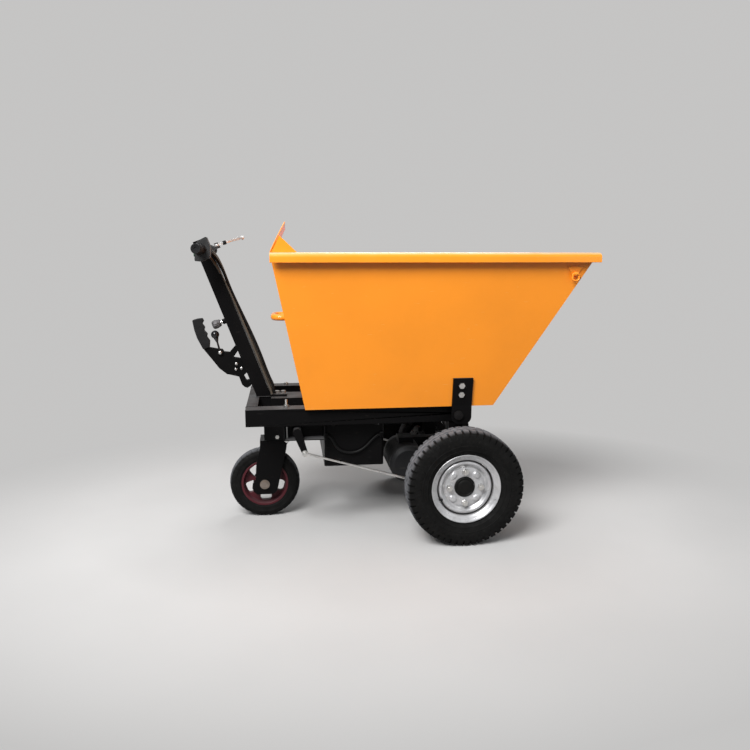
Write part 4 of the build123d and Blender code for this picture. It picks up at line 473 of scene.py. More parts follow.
def join(form, rings, count):
    """Quads between each ring of points and the next one, as many as the count from ring to ring."""
    for ring, following in zip(rings, rings[1:]):
        for low in range(count):
            high = (low + 1) % len(ring)
            form.faces.new((ring[low], following[low], following[high], ring[high]))


def prism(form, rings):
    """Closed rings of points joined along their length and filled at both ends."""
    join(form, rings, len(rings[0]))
    form.faces.new(rings[0])
    form.faces.new(rings[-1])


def lathe(form, profile, turns, origin, axis, shape=None, closed=True):
    """Surface turned about an axis. The profile is (along, radius) in millimetres; turns is a count or the
    angles themselves, and shape may move a point: (index, along, radius, turn) to (along, radius)."""
    axis, first, second = axes_about(axis)
    if isinstance(turns, int):
        turns = [2 * pi * step / turns for step in range(turns)]
    rings = []
    for turn in turns:
        out = first * cos(turn) + second * sin(turn)
        ring = []
        for index, (along, radius) in enumerate(profile):
            if shape:
                along, radius = shape(index, along, radius, turn)
            ring.append(form.verts.new(origin + axis * along * MM + out * radius * MM))
        rings.append(ring)
    join(form, rings + rings[:1], len(profile) if closed else len(profile) - 1)
    if not closed:
        for end in (0, -1):
            form.faces.new([ring[end] for ring in rings])


def turned_piece(name, profile, turns, origin, axis, slot, body, replaced=(), shape=None, material=None):
    """Piece that is one turned surface, closed at its two ends by flat discs."""
    form = bmesh.new()
    lathe(form, profile, turns, origin, axis, shape, closed=False)
    new_piece(name, form, slot, body, replaced, material=material)


# Weld beads: radius and pitch in millimetres, shares of the radius in a hollow and at an end
BEAD_R = 2.2
BEAD_PITCH = 3.6
BEAD_SIDES = 6
BEAD_HOLLOW = 0.8
BEAD_END = 0.35
BEAD_RING_STEPS = 48


def bead(form, start, end, radius=BEAD_R):
    """Weld bead between two points, rippled along its length and drawn out at its ends."""
    start = Vector(start)
    end = Vector(end)
    _, first, second = axes_about(end - start)
    length = (end - start).length / MM
    steps = max(3, round(2 * length / BEAD_PITCH))
    rings = []
    for step in range(steps + 1):
        size = radius * (1.0 if step % 2 else BEAD_HOLLOW)
        if step in (0, steps):
            size = radius * BEAD_END
        middle = start + (end - start) * (step / steps)
        ring = []
        for corner in range(BEAD_SIDES):
            turn = 2 * pi * corner / BEAD_SIDES
            ring.append(form.verts.new(middle + (first * cos(turn) + second * sin(turn)) * size * MM))
        rings.append(ring)
    prism(form, rings)


def bead_loop(form, points, radius):
    """Weld beads round a closed run of points."""
    for start, end in zip(points, points[1:] + points[:1]):
        bead(form, start, end, radius)


def bead_ring(form, middle, axis, ring_r, radius=BEAD_R):
    """Weld bead round a tube's root."""
    circle = [2 * pi * step / BEAD_SIDES for step in range(BEAD_SIDES)]
    section = [(radius * cos(turn), ring_r + radius * sin(turn)) for turn in circle]

    def ripple(index, along, across, turn):
        size = 1.0 if round(turn / (2 * pi) * BEAD_RING_STEPS) % 2 else BEAD_HOLLOW
        return along * size, ring_r + (across - ring_r) * size

    lathe(form, section, BEAD_RING_STEPS, middle, axis, ripple)


# Drive wheels

TRACK_HALF = -(TYRE_LOW.y + TYRE_HIGH.y) / 2
LUGS = 50
LUG_CUT = 6.5
ZIGZAG = 2.0
RIB_RISE = 0.8
RIB_DROP = (33.9, 43.7)
LUG_PHASES = (0.0, 0.03, 0.165, 0.30, 0.33, 0.415, 0.5, 0.53, 0.665, 0.80, 0.83, 0.915)
GAP_PHASES = {1: (0.02, 0.31), -1: (0.52, 0.81)}
RIB_PHASES = {1: (0.52, 0.67), -1: (0.02, 0.17)}

# Half section of the tyre's tread: along the axle, drop below the tread's middle, share of the lug cut and
# share of the zigzag
TREAD = [
    (0.0, 0.0, 0.0, 0.0),
    (4.5, 0.0, 0.0, 0.3),
    (9.0, 0.1, 0.0, 1.0),
    (9.8, 6.6, 0.0, 1.0),
    (14.2, 6.8, 0.0, 1.0),
    (15.0, 0.3, 0.0, 1.0),
    (19.6, 0.5, 0.0, 0.3),
    (20.6, 0.5, 1.0, 0.0),
    (27.0, 0.9, 1.0, 0.0),
    (34.0, 1.6, 1.0, 0.0),
    (40.0, 3.2, 1.0, 0.0),
    (44.5, 5.6, 1.0, 0.0),
    (47.5, 9.0, 0.9, 0.0),
    (49.4, 13.5, 0.75, 0.0),
    (50.5, 19.0, 0.55, 0.0),
    (50.8, 22.0, 0.4, 0.0),
    (50.9, 22.8, 0.0, 0.0),
]

# The rest of that half, outside and inside: along the axle and drop
SIDEWALL = [
    (51.1, 28.0), (51.2, 33.2), (51.2, 34.0), (51.1, 39.0), (50.8, 43.6), (50.7, 44.4),
    (50.2, 48.5), (51.0, 49.4), (50.9, 51.0), (49.7, 52.0), (48.6, 57.5), (46.9, 63.0),
    (46.0, 65.5), (46.7, 66.6), (46.0, 68.4), (44.7, 69.2), (41.9, 74.5), (39.6, 78.0),
    (39.9, 79.6), (39.2, 81.6), (37.6, 82.8), (36.2, 86.0), (32.0, 94.0), (26.0, 100.8),
]
CARCASS = [(22.0, 100.8), (24.0, 83.0), (36.0, 66.0), (42.0, 47.0), (38.0, 20.0), (14.0, 15.5)]


def wheel_middle(side):
    """Middle of a drive wheel."""
    return Vector((AXLE.x, side * TRACK_HALF, AXLE.z))


def tyre_section():
    """Closed section of the tyre, one half and then its mirror image."""
    half = TREAD + [(along, drop, 0.0, 0.0) for along, drop in SIDEWALL + CARCASS]
    mirrored = [(-along, *rest) for along, *rest in reversed(half[1:])]
    return half + mirrored


def section_normals(section):
    """Unit normals of a closed section, pointing out of the tyre."""
    normals = []
    count = len(section)
    for index in range(count):
        before = section[index - 1]
        after = section[(index + 1) % count]
        along = after[0] - before[0]
        rise = before[1] - after[1]
        size = hypot(along, rise)
        normals.append((-rise / size, along / size))
    return normals


def make_drive_tyre(name, side):
    """Tyre with zigzag grooves, staggered shoulder lugs, moulded ribs and sidewall rings."""
    section = tyre_section()
    normals = section_normals(section)
    turns = [2 * pi * (lug + phase) / LUGS for lug in range(LUGS) for phase in LUG_PHASES]

    def tread(index, along, radius, turn):
        phase = turn * LUGS / (2 * pi) % 1.0
        end = 1 if along > 0 else -1
        _, drop, cut, sway = section[index]
        along += ZIGZAG * sway * (1 - 4 * abs(phase - 0.5))
        push = 0.0
        if cut and GAP_PHASES[end][0] < phase < GAP_PHASES[end][1]:
            push = -LUG_CUT * cut
        if RIB_DROP[0] < drop < RIB_DROP[1] and RIB_PHASES[end][0] < phase < RIB_PHASES[end][1]:
            push = RIB_RISE
        return along + normals[index][0] * push, radius + normals[index][1] * push

    form = bmesh.new()
    profile = [(along, TYRE_R / MM - drop) for along, drop, _, _ in section]
    lathe(form, profile, turns, wheel_middle(side), (0, side, 0), tread)
    new_piece(f"{name}_tyre_tread", form, "tyre_black", f"{name}_wheel", [f"{name}_tyre"])


# Half section of the rim's barrel: the tyre seat, the coned flange, its rolled edge, the step and the well
BARREL = [
    (27.0, 101.6), (29.4, 104.5), (33.6, 110.0), (37.6, 116.6), (38.8, 119.3), (40.2, 120.0),
    (41.0, 119.2), (40.7, 117.8), (39.2, 115.4), (36.9, 112.0), (35.8, 110.4), (35.2, 109.9),
    (34.9, 109.3), (35.1, 108.5), (34.2, 107.0), (31.8, 103.4), (30.2, 101.0), (29.0, 99.5),
    (27.0, 98.4), (10.0, 97.8),
]

# Section of the wheel disc, its front from the edge inwards and its back from the middle outwards
DISC_FRONT = [
    (3.0, 96.0), (11.0, 95.7), (17.6, 94.4), (22.2, 91.8), (24.6, 88.2), (24.6, 84.6), (22.4, 81.2),
    (18.6, 78.2), (14.8, 75.4), (12.6, 72.4), (12.6, 69.6), (15.0, 66.6), (15.0, 62.5), (15.0, 59.0),
    (15.0, 55.5), (15.0, 52.0), (15.0, 48.5), (15.0, 45.0), (15.0, 41.0), (15.0, 37.4), (14.2, 36.0),
]
DISC_BACK = [
    (11.4, 36.0), (11.2, 45.0), (11.2, 52.0), (11.2, 59.0), (11.0, 66.0), (8.8, 70.6), (10.0, 75.4),
    (15.0, 79.6), (19.4, 83.6), (20.4, 86.6), (19.0, 89.4), (14.6, 91.8), (3.0, 92.8),
]
BARREL_TURNS = 96
DISC_TURNS = 144
NUTS = 4
NUT_CIRCLE_R = 55.0
PAD_CIRCLE_R = 58.0
PAD_SIZE = (12.0, 15.0)
PAD_RISE = 5.0
PAD_STEEPNESS = 1.7
SEAT_SIZE = 14.0
SEAT_RISE = 1.6
SEAT_STEEPNESS = 2.0


def pressed_height(radius, turn):
    """Height of the pads and the nut seats that are pressed into the wheel disc."""
    spacing = 2 * pi / NUTS
    from_nut = (turn + spacing / 2) % spacing - spacing / 2
    from_pad = turn % spacing - spacing / 2
    pad = ((radius - PAD_CIRCLE_R) / PAD_SIZE[0]) ** 2 + (from_pad * radius / PAD_SIZE[1]) ** 2
    seat = ((radius - NUT_CIRCLE_R) / SEAT_SIZE) ** 2 + (from_nut * radius / SEAT_SIZE) ** 2
    height = PAD_RISE * min(1.0, PAD_STEEPNESS * max(0.0, 1 - pad))
    return height + SEAT_RISE * min(1.0, SEAT_STEEPNESS * max(0.0, 1 - seat))


def make_rim(name, side):
    """Pressed steel wheel: coned flanges, well, crowned disc with four pads between the nuts."""
    form = bmesh.new()
    middle = wheel_middle(side)
    barrel = BARREL + [(-along, radius) for along, radius in reversed(BARREL)]
    lathe(form, barrel, BARREL_TURNS, middle, (0, side, 0))

    def press(index, along, radius, turn):
        return along + pressed_height(radius, turn), radius

    lathe(form, DISC_FRONT + DISC_BACK, DISC_TURNS, middle, (0, side, 0), press)
    new_piece(f"{name}_pressed_rim", form, "rim_silver", f"{name}_wheel", [f"{name}_rim"], sharp=40.0)


HUB_CAP = [
    (15.0, 32.6), (17.6, 33.0), (18.8, 31.8), (19.0, 29.6), (17.8, 28.4), (17.6, 24.6), (18.6, 23.4),
    (19.8, 18.0), (20.6, 11.0), (20.9, 4.0),
]
CAP_TURNS = 64
VALVE = [
    (-4.0, 5.4), (1.0, 5.2), (3.0, 4.2), (10.0, 3.6), (11.0, 4.2), (15.0, 4.2), (16.0, 3.2), (16.4, 1.2),
]
VALVE_TURNS = 20
VALVE_PLACE = radians(203)
VALVE_R = 99.0
VALVE_OUT = 24.0
VALVE_LEAN = 0.75


def make_hub_cap(name, side):
    """Plain black cap with a raised rim and a crowned middle."""
    turned_piece(f"{name}_plain_cap", HUB_CAP, CAP_TURNS, wheel_middle(side), (0, side, 0), "black_plastic",
                 f"{name}_wheel", [f"{name}_hub_cap"], material=CAP_PLASTIC)


def make_valve(name, side):
    """Rubber valve that leans out of the rim's well."""
    out = Vector((cos(VALVE_PLACE), 0, sin(VALVE_PLACE)))
    foot = Vector((AXLE.x, side * (TRACK_HALF + VALVE_OUT * MM), AXLE.z)) + out * VALVE_R * MM
    lean = Vector((0, side, 0)) - out * VALVE_LEAN
    turned_piece(f"{name}_valve", VALVE, VALVE_TURNS, foot, lean, "grip_rubber", f"{name}_wheel")


# Castor

CASTOR_LUGS = 36
CASTOR_CUT = 2.2
CASTOR_PHASES = (0.0, 0.05, 0.2, 0.25, 0.5, 0.75)
CASTOR_GAP = (0.02, 0.22)

# Half section of the castor's tyre: along the axle, drop below the tread's middle and share of the cut
CASTOR_HALF = [
    (0.0, 0.0, 0.0), (2.0, 0.0, 0.0), (2.6, 2.2, 0.0), (4.6, 2.3, 0.0), (5.2, 0.2, 0.0), (10.0, 0.5, 0.0),
    (10.8, 0.6, 1.0), (17.0, 1.6, 1.0), (22.5, 2.8, 1.0), (26.5, 5.2, 0.9), (29.4, 8.6, 0.6),
    (31.2, 11.8, 0.3), (31.8, 12.8, 0.0), (33.4, 17.0, 0.0), (33.2, 19.4, 0.0), (34.2, 20.4, 0.0),
    (34.0, 22.4, 0.0), (33.2, 23.4, 0.0), (33.0, 29.0, 0.0), (32.2, 34.0, 0.0), (32.6, 36.0, 0.0),
    (31.8, 38.4, 0.0), (30.6, 40.4, 0.0), (30.0, 43.6, 0.0),
]


def make_castor_tyre():
    """Solid castor tyre with shallow shoulder cuts and moulded rings."""
    section = CASTOR_HALF + [(-along, *rest) for along, *rest in reversed(CASTOR_HALF[1:])]
    turns = []
    for lug in range(CASTOR_LUGS):
        turns += [2 * pi * (lug + phase) / CASTOR_LUGS for phase in CASTOR_PHASES]

    def tread(index, along, radius, turn):
        phase = turn * CASTOR_LUGS / (2 * pi) % 1.0
        inside_gap = CASTOR_GAP[0] < phase < CASTOR_GAP[1]
        return along, radius - CASTOR_CUT * section[index][2] * inside_gap

    form = bmesh.new()
    profile = [(along, CASTOR_R / MM - drop) for along, drop, _ in section]
    lathe(form, profile, turns, CASTOR, (0, 1, 0), tread)
    new_piece("castor_tread", form, "tyre_black", "castor_wheel", ["castor_tyre"], material=CASTOR_RUBBER)


# Handlebar grips and knobs

BAR = joint_at("throttle_twist")
GRIP_LOW, GRIP_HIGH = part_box("left_grip")
GRIP_LENGTH = (GRIP_HIGH.y - GRIP_LOW.y) / MM
COLLAR_R = (GRIP_HIGH.z - GRIP_LOW.z) / 2 / MM
GRIP_R = COLLAR_R - 3.0
GRIP_RIDGES = 12
RIDGES_FROM = 8.0
RIDGES_TO = GRIP_LENGTH - 12.0
RIDGE_PITCH = (RIDGES_TO - RIDGES_FROM) / GRIP_RIDGES
RIDGE_DEPTH = 1.2
GRIP_BLOCKS = 22
BLOCK_STEPS = 4
BLOCK_CUT = 0.9


def grip_profile():
    """Outline of a grip from its collar to its end, with ridges between."""
    outline = [(0.0, 12.0), (0.0, COLLAR_R - 0.8), (0.8, COLLAR_R), (4.2, COLLAR_R), (5.2, COLLAR_R - 1.2)]
    for ridge in range(GRIP_RIDGES):
        start = RIDGES_FROM + ridge * RIDGE_PITCH
        end = start + RIDGE_PITCH
        outline += [(start, GRIP_R - RIDGE_DEPTH), (start + 0.8, GRIP_R)]
        outline += [(end - 2.2, GRIP_R), (end - 1.4, GRIP_R - RIDGE_DEPTH)]
    end = GRIP_LENGTH
    outline += [(end - 8.0, GRIP_R - 0.8), (end - 5.0, GRIP_R + 0.4), (end - 2.0, GRIP_R)]
    outline += [(end, GRIP_R - 1.6), (end, 11.4), (end - 1.2, 10.4), (end - 1.2, 6.6)]
    outline += [(end - 3.4, 6.0), (end - 3.4, 1.0)]
    return outline


def make_grip(node, body, side):
    """Rubber grip whose ridges are cut into blocks, staggered from ridge to ridge."""
    origin = Vector((BAR.x, side * GRIP_LOW.y, BAR.z))
    turns = GRIP_BLOCKS * BLOCK_STEPS

    def blocks(index, along, radius, turn):
        ridge = int((along - RIDGES_FROM) // RIDGE_PITCH)
        on_ridge = RIDGES_FROM < along < RIDGES_TO and radius > GRIP_R - RIDGE_DEPTH / 2
        step = round(turn / (2 * pi) * turns) + BLOCK_STEPS // 2 * (ridge % 2)
        return along, radius - BLOCK_CUT * (on_ridge and step % BLOCK_STEPS == 0)

    turned_piece(f"{node}_moulded", grip_profile(), turns, origin, (0, side, 0), "grip_rubber", body,
                 [node], blocks)


SELECTOR = joint_at("selector_turn")
SELECTOR_AXIS = Vector(JOINTS["selector_turn"]["axis"])
KNOB = [
    (20.0, 5.0), (20.4, 10.8), (22.0, 12.4), (27.0, 13.8), (33.0, 15.4), (38.0, 16.2), (43.0, 16.0),
    (47.6, 15.0), (50.6, 13.4), (51.8, 11.2), (51.8, 8.8), (51.0, 8.2), (51.0, 1.0),
]
STEM = [(2.0, 4.6), (2.6, 5.0), (13.0, 5.0), (13.4, 7.2), (16.6, 7.2), (17.2, 5.0), (21.0, 5.0)]
STEM_TURNS = 32
FLUTES = 14
FLUTE_STEPS = 8
FLUTE_CUT = 0.7
FLUTE_LEVEL = 0.6
FLUTE_SPAN = (21.0, 50.0)


def make_selector():
    """Fluted knob on a plated stem."""

    def flutes(index, along, radius, turn):
        fluted = FLUTE_SPAN[0] < along < FLUTE_SPAN[1] and cos(turn * FLUTES) > FLUTE_LEVEL
        return along, radius - FLUTE_CUT * fluted

    turned_piece("selector_fluted_knob", KNOB, FLUTES * FLUTE_STEPS, SELECTOR, SELECTOR_AXIS, "grey_plastic",
                 "selector", ["selector_knob"], flutes)
    turned_piece("selector_stem", STEM, STEM_TURNS, SELECTOR, SELECTOR_AXIS, "zinc_steel", "selector")


LEVER = joint_at("hand_brake_pull")
LEVER_RISE = radians(18)
BOOT_PLACE = (24.0, 3.6, 4.0)
BOOT_AIM = (40.0, 6.0)
BOOT = [(0.0, 6.0), (0.6, 7.4), (4.0, 7.8), (5.0, 7.0), (6.0, 7.8), (11.0, 7.8), (13.4, 7.0), (14.0, 5.6)]
SMALL_TURNS = 24


def make_lever_boot():
    """Rubber boot over the brake lever's root."""
    forward = Vector((cos(LEVER_RISE), 0, sin(LEVER_RISE)))
    upward = Vector((-sin(LEVER_RISE), 0, cos(LEVER_RISE)))
    across = Vector((0, 1, 0))
    origin = LEVER + (forward * BOOT_PLACE[0] + across * BOOT_PLACE[1] + upward * BOOT_PLACE[2]) * MM
    aim = forward * BOOT_AIM[0] + across * BOOT_AIM[1]
    turned_piece("brake_lever_boot", BOOT, SMALL_TURNS, origin, aim, "grip_rubber", "hand_brake")


# Heads of the parking brake's rivets, on both cheeks, of the release's pivot and of the brake rods' pins

PARK = joint_at("park_lever_pull")
RIVET_INSET = 4.0
CHEEK_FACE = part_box("ratchet_plate")[1].y - RIVET_INSET * MM
RIVET_HEAD = [(-1.0, 5.8), (1.2, 5.8), (2.6, 5.0), (3.4, 3.6), (3.7, 0.8)]
RIVETS = ((-1.0, 11.0), (-3.0, -9.0), (17.0, -6.0))
PIVOT_HEAD = [(-1.0, 6.2), (1.0, 6.2), (2.2, 5.2), (3.0, 3.2), (3.3, 0.8)]
PIN_CAP = [(0.0, 8.8), (1.4, 8.8), (1.6, 6.4), (4.0, 6.4), (5.0, 5.4), (5.2, 1.0)]


def make_rivets():
    """Domed heads beside the pivot pin."""
    form = bmesh.new()
    for _, side in SIDES:
        for x, z in RIVETS:
            origin = Vector((PARK.x + x * MM, side * CHEEK_FACE, PARK.z + z * MM))
            lathe(form, RIVET_HEAD, SMALL_TURNS, origin, (0, side, 0), closed=False)
    new_piece("ratchet_rivets", form, "zinc_steel", "chassis")


def make_pivot_head():
    """Domed head of the pin that the release turns on."""
    origin = joint_at("release_press")
    origin.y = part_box("park_lever")[0].y
    turned_piece("release_pivot_head", PIVOT_HEAD, SMALL_TURNS, origin, (0, -1, 0), "zinc_steel",
                 "park_brake")


def make_pin_caps():
    """Washer and cap on each pin that a brake rod hangs on."""
    for name, side in SIDES:
        origin = joint_at(f"{name}_rod_turn")
        origin.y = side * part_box("left_brake_rod")[1].y
        turned_piece(f"{name}_rod_pin_cap", PIN_CAP, SMALL_TURNS, origin, (0, side, 0), "zinc_steel",
                     "brake_cross_shaft")


# Folded lip of the bin, with round bends

LIP_LOW, LIP_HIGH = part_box("bin_rim")
SHEET = 3.0
FRONT_SHEET = 3.5
LIP_BEND = 16.0
FRONT_BEND = 5.0
BEND_STEPS = 8
NICK = 0.8
WALL_LOW, WALL_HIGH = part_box("bin_right_wall")
INNER_Y = -WALL_LOW.y - SHEET * MM


def bend_arc(width, bend, radius):
    """Points of a square bend, from the flat top to the upright side."""
    turns = [step / BEND_STEPS * pi / 2 for step in range(BEND_STEPS + 1)]
    return [(width - bend + radius * sin(turn), bend - radius * cos(turn)) for turn in turns]


def lip_section(width, depth, bend):
    """Closed section of a folded sheet: (out, down) from the inner top edge, in millimetres."""
    inner_edge = [(0.0, SHEET), (0.0, NICK), (NICK, 0.0)]
    outside = bend_arc(width, bend, bend)
    lower_edge = [(width, depth - NICK), (width - NICK, depth)]
    lower_edge += [(width - SHEET + NICK, depth), (width - SHEET, depth - NICK)]
    inside = bend_arc(width, bend, bend - SHEET)
    return inner_edge + outside + lower_edge + inside[::-1]


def make_lip():
    """Lip along both sides and the front, folded from one sheet, and the strip on the rear wall."""
    inner_x = LIP_HIGH.x - (SHEET + FRONT_SHEET) * MM
    depth = (LIP_HIGH.z - LIP_LOW.z) / MM
    side_section = lip_section((LIP_HIGH.y - INNER_Y) / MM, depth, LIP_BEND)
    front_section = lip_section((LIP_HIGH.x - inner_x) / MM, depth, FRONT_BEND)
    form = bmesh.new()
    stations = []
    for side in (-1, 1):
        rear = []
        corner = []
        for (out_y, down), (out_x, _) in zip(side_section, front_section):
            y = side * (INNER_Y + out_y * MM)
            z = LIP_HIGH.z - down * MM
            rear.append(form.verts.new((LIP_LOW.x, y, z)))
            corner.append(form.verts.new((inner_x + out_x * MM, y, z)))
        stations.append((rear, corner))
    (right_rear, right_corner), (left_rear, left_corner) = stations
    prism(form, [right_rear, right_corner, left_corner, left_rear])
    strip = [(0.0, SHEET), (0.0, NICK), (NICK, 0.0), (SHEET - NICK, 0.0), (SHEET, NICK), (SHEET, SHEET)]
    ends = []
    for y in (-INNER_Y, INNER_Y):
        ends.append([form.verts.new((LIP_LOW.x + x * MM, y, LIP_HIGH.z - down * MM)) for x, down in strip])
    prism(form, ends)
    new_piece("bin_folded_lip", form, "bin_orange", "bin", ["bin_rim"], sharp=25.0, material=LIP_HIGHLIGHT_PAINT)


# Welds

BASE_LOW, BASE_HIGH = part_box("bin_floor")
REAR_LOW, REAR_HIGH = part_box("bin_rear_wall")
FRONT_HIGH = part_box("bin_front_wall")[1]
HANDLE_LOW, HANDLE_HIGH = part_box("grab_handle")
HANDLE_R = (HANDLE_HIGH.z - HANDLE_LOW.z) / 2 / MM
HANDLE_ROOT_Y = HANDLE_HIGH.y - HANDLE_R * MM
GUARD_LOW, GUARD_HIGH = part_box("splash_guard")

# Places of the beads by the handle, the splash guard and its gussets, and radii, in millimetres
HANDLE_BEAD_OUT = 0.8
GUARD_HALF = 355.0
GUARD_BEAD_IN = 4.0
GUSSET_Y = 359.0
GUSSET_SPAN = (6.0, 2.0)
GUSSET_EDGE = Vector((27, 0, 51))
SEAM_BEAD = 2.6
CORNER_BEAD = 2.4
GUARD_BEAD = 1.8
EDGE_BEAD = 1.6


def bin_corners(x_span, half, z):
    """Corners of the bin's inside at one height, in order round the bin."""
    rear, front = x_span
    return [Vector(at) for at in ((rear, -half, z), (front, -half, z), (front, half, z), (rear, half, z))]


def make_bin_welds():
    """Beads inside the bin's seams and round the roots of the handle and the gussets."""
    form = bmesh.new()
    floor = bin_corners((BASE_LOW.x, BASE_HIGH.x), BASE_HIGH.y, BASE_HIGH.z)
    top_span = (REAR_LOW.x + SHEET * MM, FRONT_HIGH.x - FRONT_SHEET * MM)
    bead_loop(form, floor, SEAM_BEAD)
    for low, high in zip(floor, bin_corners(top_span, INNER_Y, WALL_HIGH.z)):
        bead(form, low, high, CORNER_BEAD)
    root_z = (HANDLE_LOW.z + HANDLE_HIGH.z) / 2
    slope = (REAR_HIGH.x - SHEET * MM - REAR_LOW.x) / (REAR_HIGH.z - REAR_LOW.z)
    root_x = REAR_HIGH.x - SHEET * MM - slope * (root_z - REAR_LOW.z)
    for _, side in SIDES:
        root = Vector((root_x, side * HANDLE_ROOT_Y, root_z))
        bead_ring(form, root, (1, 0, slope), HANDLE_R + HANDLE_BEAD_OUT)
        gusset_y = side * GUSSET_Y * MM
        base = Vector((GUARD_LOW.x + GUSSET_SPAN[0] * MM, gusset_y, GUARD_LOW.z))
        bead(form, base, (GUARD_HIGH.x - GUSSET_SPAN[1] * MM, gusset_y, GUARD_LOW.z), GUARD_BEAD)
        bead(form, base, base + GUSSET_EDGE * MM, EDGE_BEAD)
    guard_x = GUARD_LOW.x + GUARD_BEAD_IN * MM
    guard_ends = [(guard_x, side * GUARD_HALF * MM, GUARD_LOW.z) for side in (-1, 1)]
    bead(form, *guard_ends, GUARD_BEAD)
    new_piece("bin_welds", form, "bin_orange", "bin", sharp=60.0)


RAIL_LOW, RAIL_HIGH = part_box("left_rail")
BEAM_LOW, BEAM_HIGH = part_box("centre_beam")
TUBE = RAIL_HIGH.z - RAIL_LOW.z
PEDESTAL_LOW, PEDESTAL_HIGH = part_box("castor_pedestal")
COLUMN_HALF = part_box("column")[1].y

# Slope of the leaning column, and where its middle meets the frame's top
COLUMN_LEAN = 0.370
COLUMN_X = -0.4365


def column_foot():
    """Corners of the leaning column where it stands on the frame."""
    half_x = COLUMN_HALF * hypot(COLUMN_LEAN, 1.0)
    signs = ((-1, -1), (1, -1), (1, 1), (-1, 1))
    return [Vector((COLUMN_X + x * half_x, y * COLUMN_HALF, RAIL_HIGH.z)) for x, y in signs]


def make_frame_welds():
    """Beads where the frame's tubes meet, round the column's foot and the castor's pedestal."""
    form = bmesh.new()
    top = RAIL_HIGH.z
    down = Vector((0, 0, -TUBE))
    for tube_x, width in ((RAIL_LOW.x, BEAM_LOW.x - RAIL_LOW.x), (BEAM_HIGH.x, TUBE)):
        for _, side in SIDES:
            near = Vector((tube_x, side * RAIL_LOW.y, top))
            far = near + Vector((width, 0, 0))
            bead(form, near, far)
            bead(form, near, near + down)
            bead(form, far, far + down)
    for x, half in ((BEAM_LOW.x, COLUMN_HALF), (BEAM_HIGH.x, BEAM_HIGH.y)):
        ends = [Vector((x, side * half, top)) for side in (-1, 1)]
        bead(form, *ends)
        for end in ends:
            bead(form, end, end + down)
    bead_loop(form, column_foot(), SEAM_BEAD)
    for x in (PEDESTAL_LOW.x, PEDESTAL_HIGH.x):
        bead(form, (x, PEDESTAL_LOW.y, PEDESTAL_HIGH.z), (x, PEDESTAL_HIGH.y, PEDESTAL_HIGH.z))
    new_piece("frame_welds", form, "frame_black", "chassis", sharp=60.0)


# Cables that are held all the way, their radii in millimetres and their routes in metres

LOOM_R = 5.0
LEAD_R = 4.5
BRAKE_R = 4.0
SWITCH_R = 4.8
LOOM_ROUTE = [
    (-0.610, -0.118, 1.000), (-0.610, -0.080, 1.000), (-0.583, -0.008, 0.960), (-0.543, -0.008, 0.850),
    (-0.460, -0.008, 0.665), (-0.418, -0.008, 0.540), (-0.400, -0.008, 0.503), (-0.400, -0.008, 0.473),
]
LEAD_ROUTE = [
    (-0.211, -0.198, 0.352), (-0.201, -0.198, 0.352), (-0.172, -0.198, 0.290), (-0.095, -0.198, 0.286),
    (-0.036, -0.198, 0.352), (-0.024, -0.198, 0.352),
]
BRAKE_ROUTE = [
    (-0.617, -0.112, 0.992), (-0.617, -0.082, 0.990), (-0.592, -0.020, 0.945), (-0.5473, -0.018, 0.850),
    (-0.4749, -0.018, 0.665), (-0.4306, -0.018, 0.540), (-0.4148, -0.016, 0.500), (-0.407, -0.018, 0.473),
]
SWITCH_ROUTE = [
    (-0.6118, 0.012, 1.000), (-0.590, 0.012, 0.985), (-0.5443, 0.006, 0.850), (-0.4689, 0.006, 0.665),
    (-0.4266, 0.006, 0.540), (-0.4108, 0.006, 0.500), (-0.404, 0.004, 0.473),
]


def make_cable(name, route, radius, replaced=(), material=None):
    """Round cable on one smooth curve."""
    data = bpy.data.curves.new(name, "CURVE")
    data.dimensions = "3D"
    data.bevel_depth = radius * MM
    data.bevel_resolution = 5
    data.use_fill_caps = True
    spline = data.splines.new("NURBS")
    spline.points.add(len(route) - 1)
    for point, place in zip(spline.points, route):
        point.co = (*place, 1.0)
    spline.order_u = 3
    spline.use_endpoint_u = True
    spline.resolution_u = 16
    data.materials.append(material or MATERIALS["cable_black"])
    cable = bpy.data.objects.new(name, data)
    scene.collection.objects.link(cable)
    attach(cable, "chassis")
    if replaced:
        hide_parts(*replaced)


for wheel_name, wheel_side in SIDES:
    make_drive_tyre(wheel_name, wheel_side)
    make_rim(wheel_name, wheel_side)
    make_hub_cap(wheel_name, wheel_side)
    make_valve(wheel_name, wheel_side)
make_castor_tyre()
make_grip("left_grip", "chassis", 1)
make_grip("throttle_grip", "throttle", -1)
make_selector()
make_lever_boot()
make_rivets()
make_pivot_head()
make_pin_caps()
make_lip()
make_bin_welds()
make_frame_welds()
make_cable("control_loom", LOOM_ROUTE, LOOM_R, ["cable_loom"])
make_cable("battery_lead", LEAD_ROUTE, LEAD_R)
make_cable("brake_cable", BRAKE_ROUTE, BRAKE_R, material=GREY_SHEATH)
make_cable("switch_cable", SWITCH_ROUTE, SWITCH_R, material=GREY_SHEATH)


# Floor, light and camera

FLOOR_FADE = (0.42, 0.72)
FLOOR_REACH = (0.38, 0.5, 0.5)
FLOOR_GREY = (0.49, 0.485, 0.48)
FLOOR_PALE = (0.52, 0.515, 0.51)
FLOOR_BOUNCE = (0.12, 0.118, 0.115)
BACKDROP = (0.56, 0.555, 0.55, 1.0)
FLOOR_HALF = 9.0
FLOOR_FRONT = -8.0
BACK_Y = 3.2
BACK_R = 1.6
BACK_TOP = 7.0
BACK_STEPS = 16

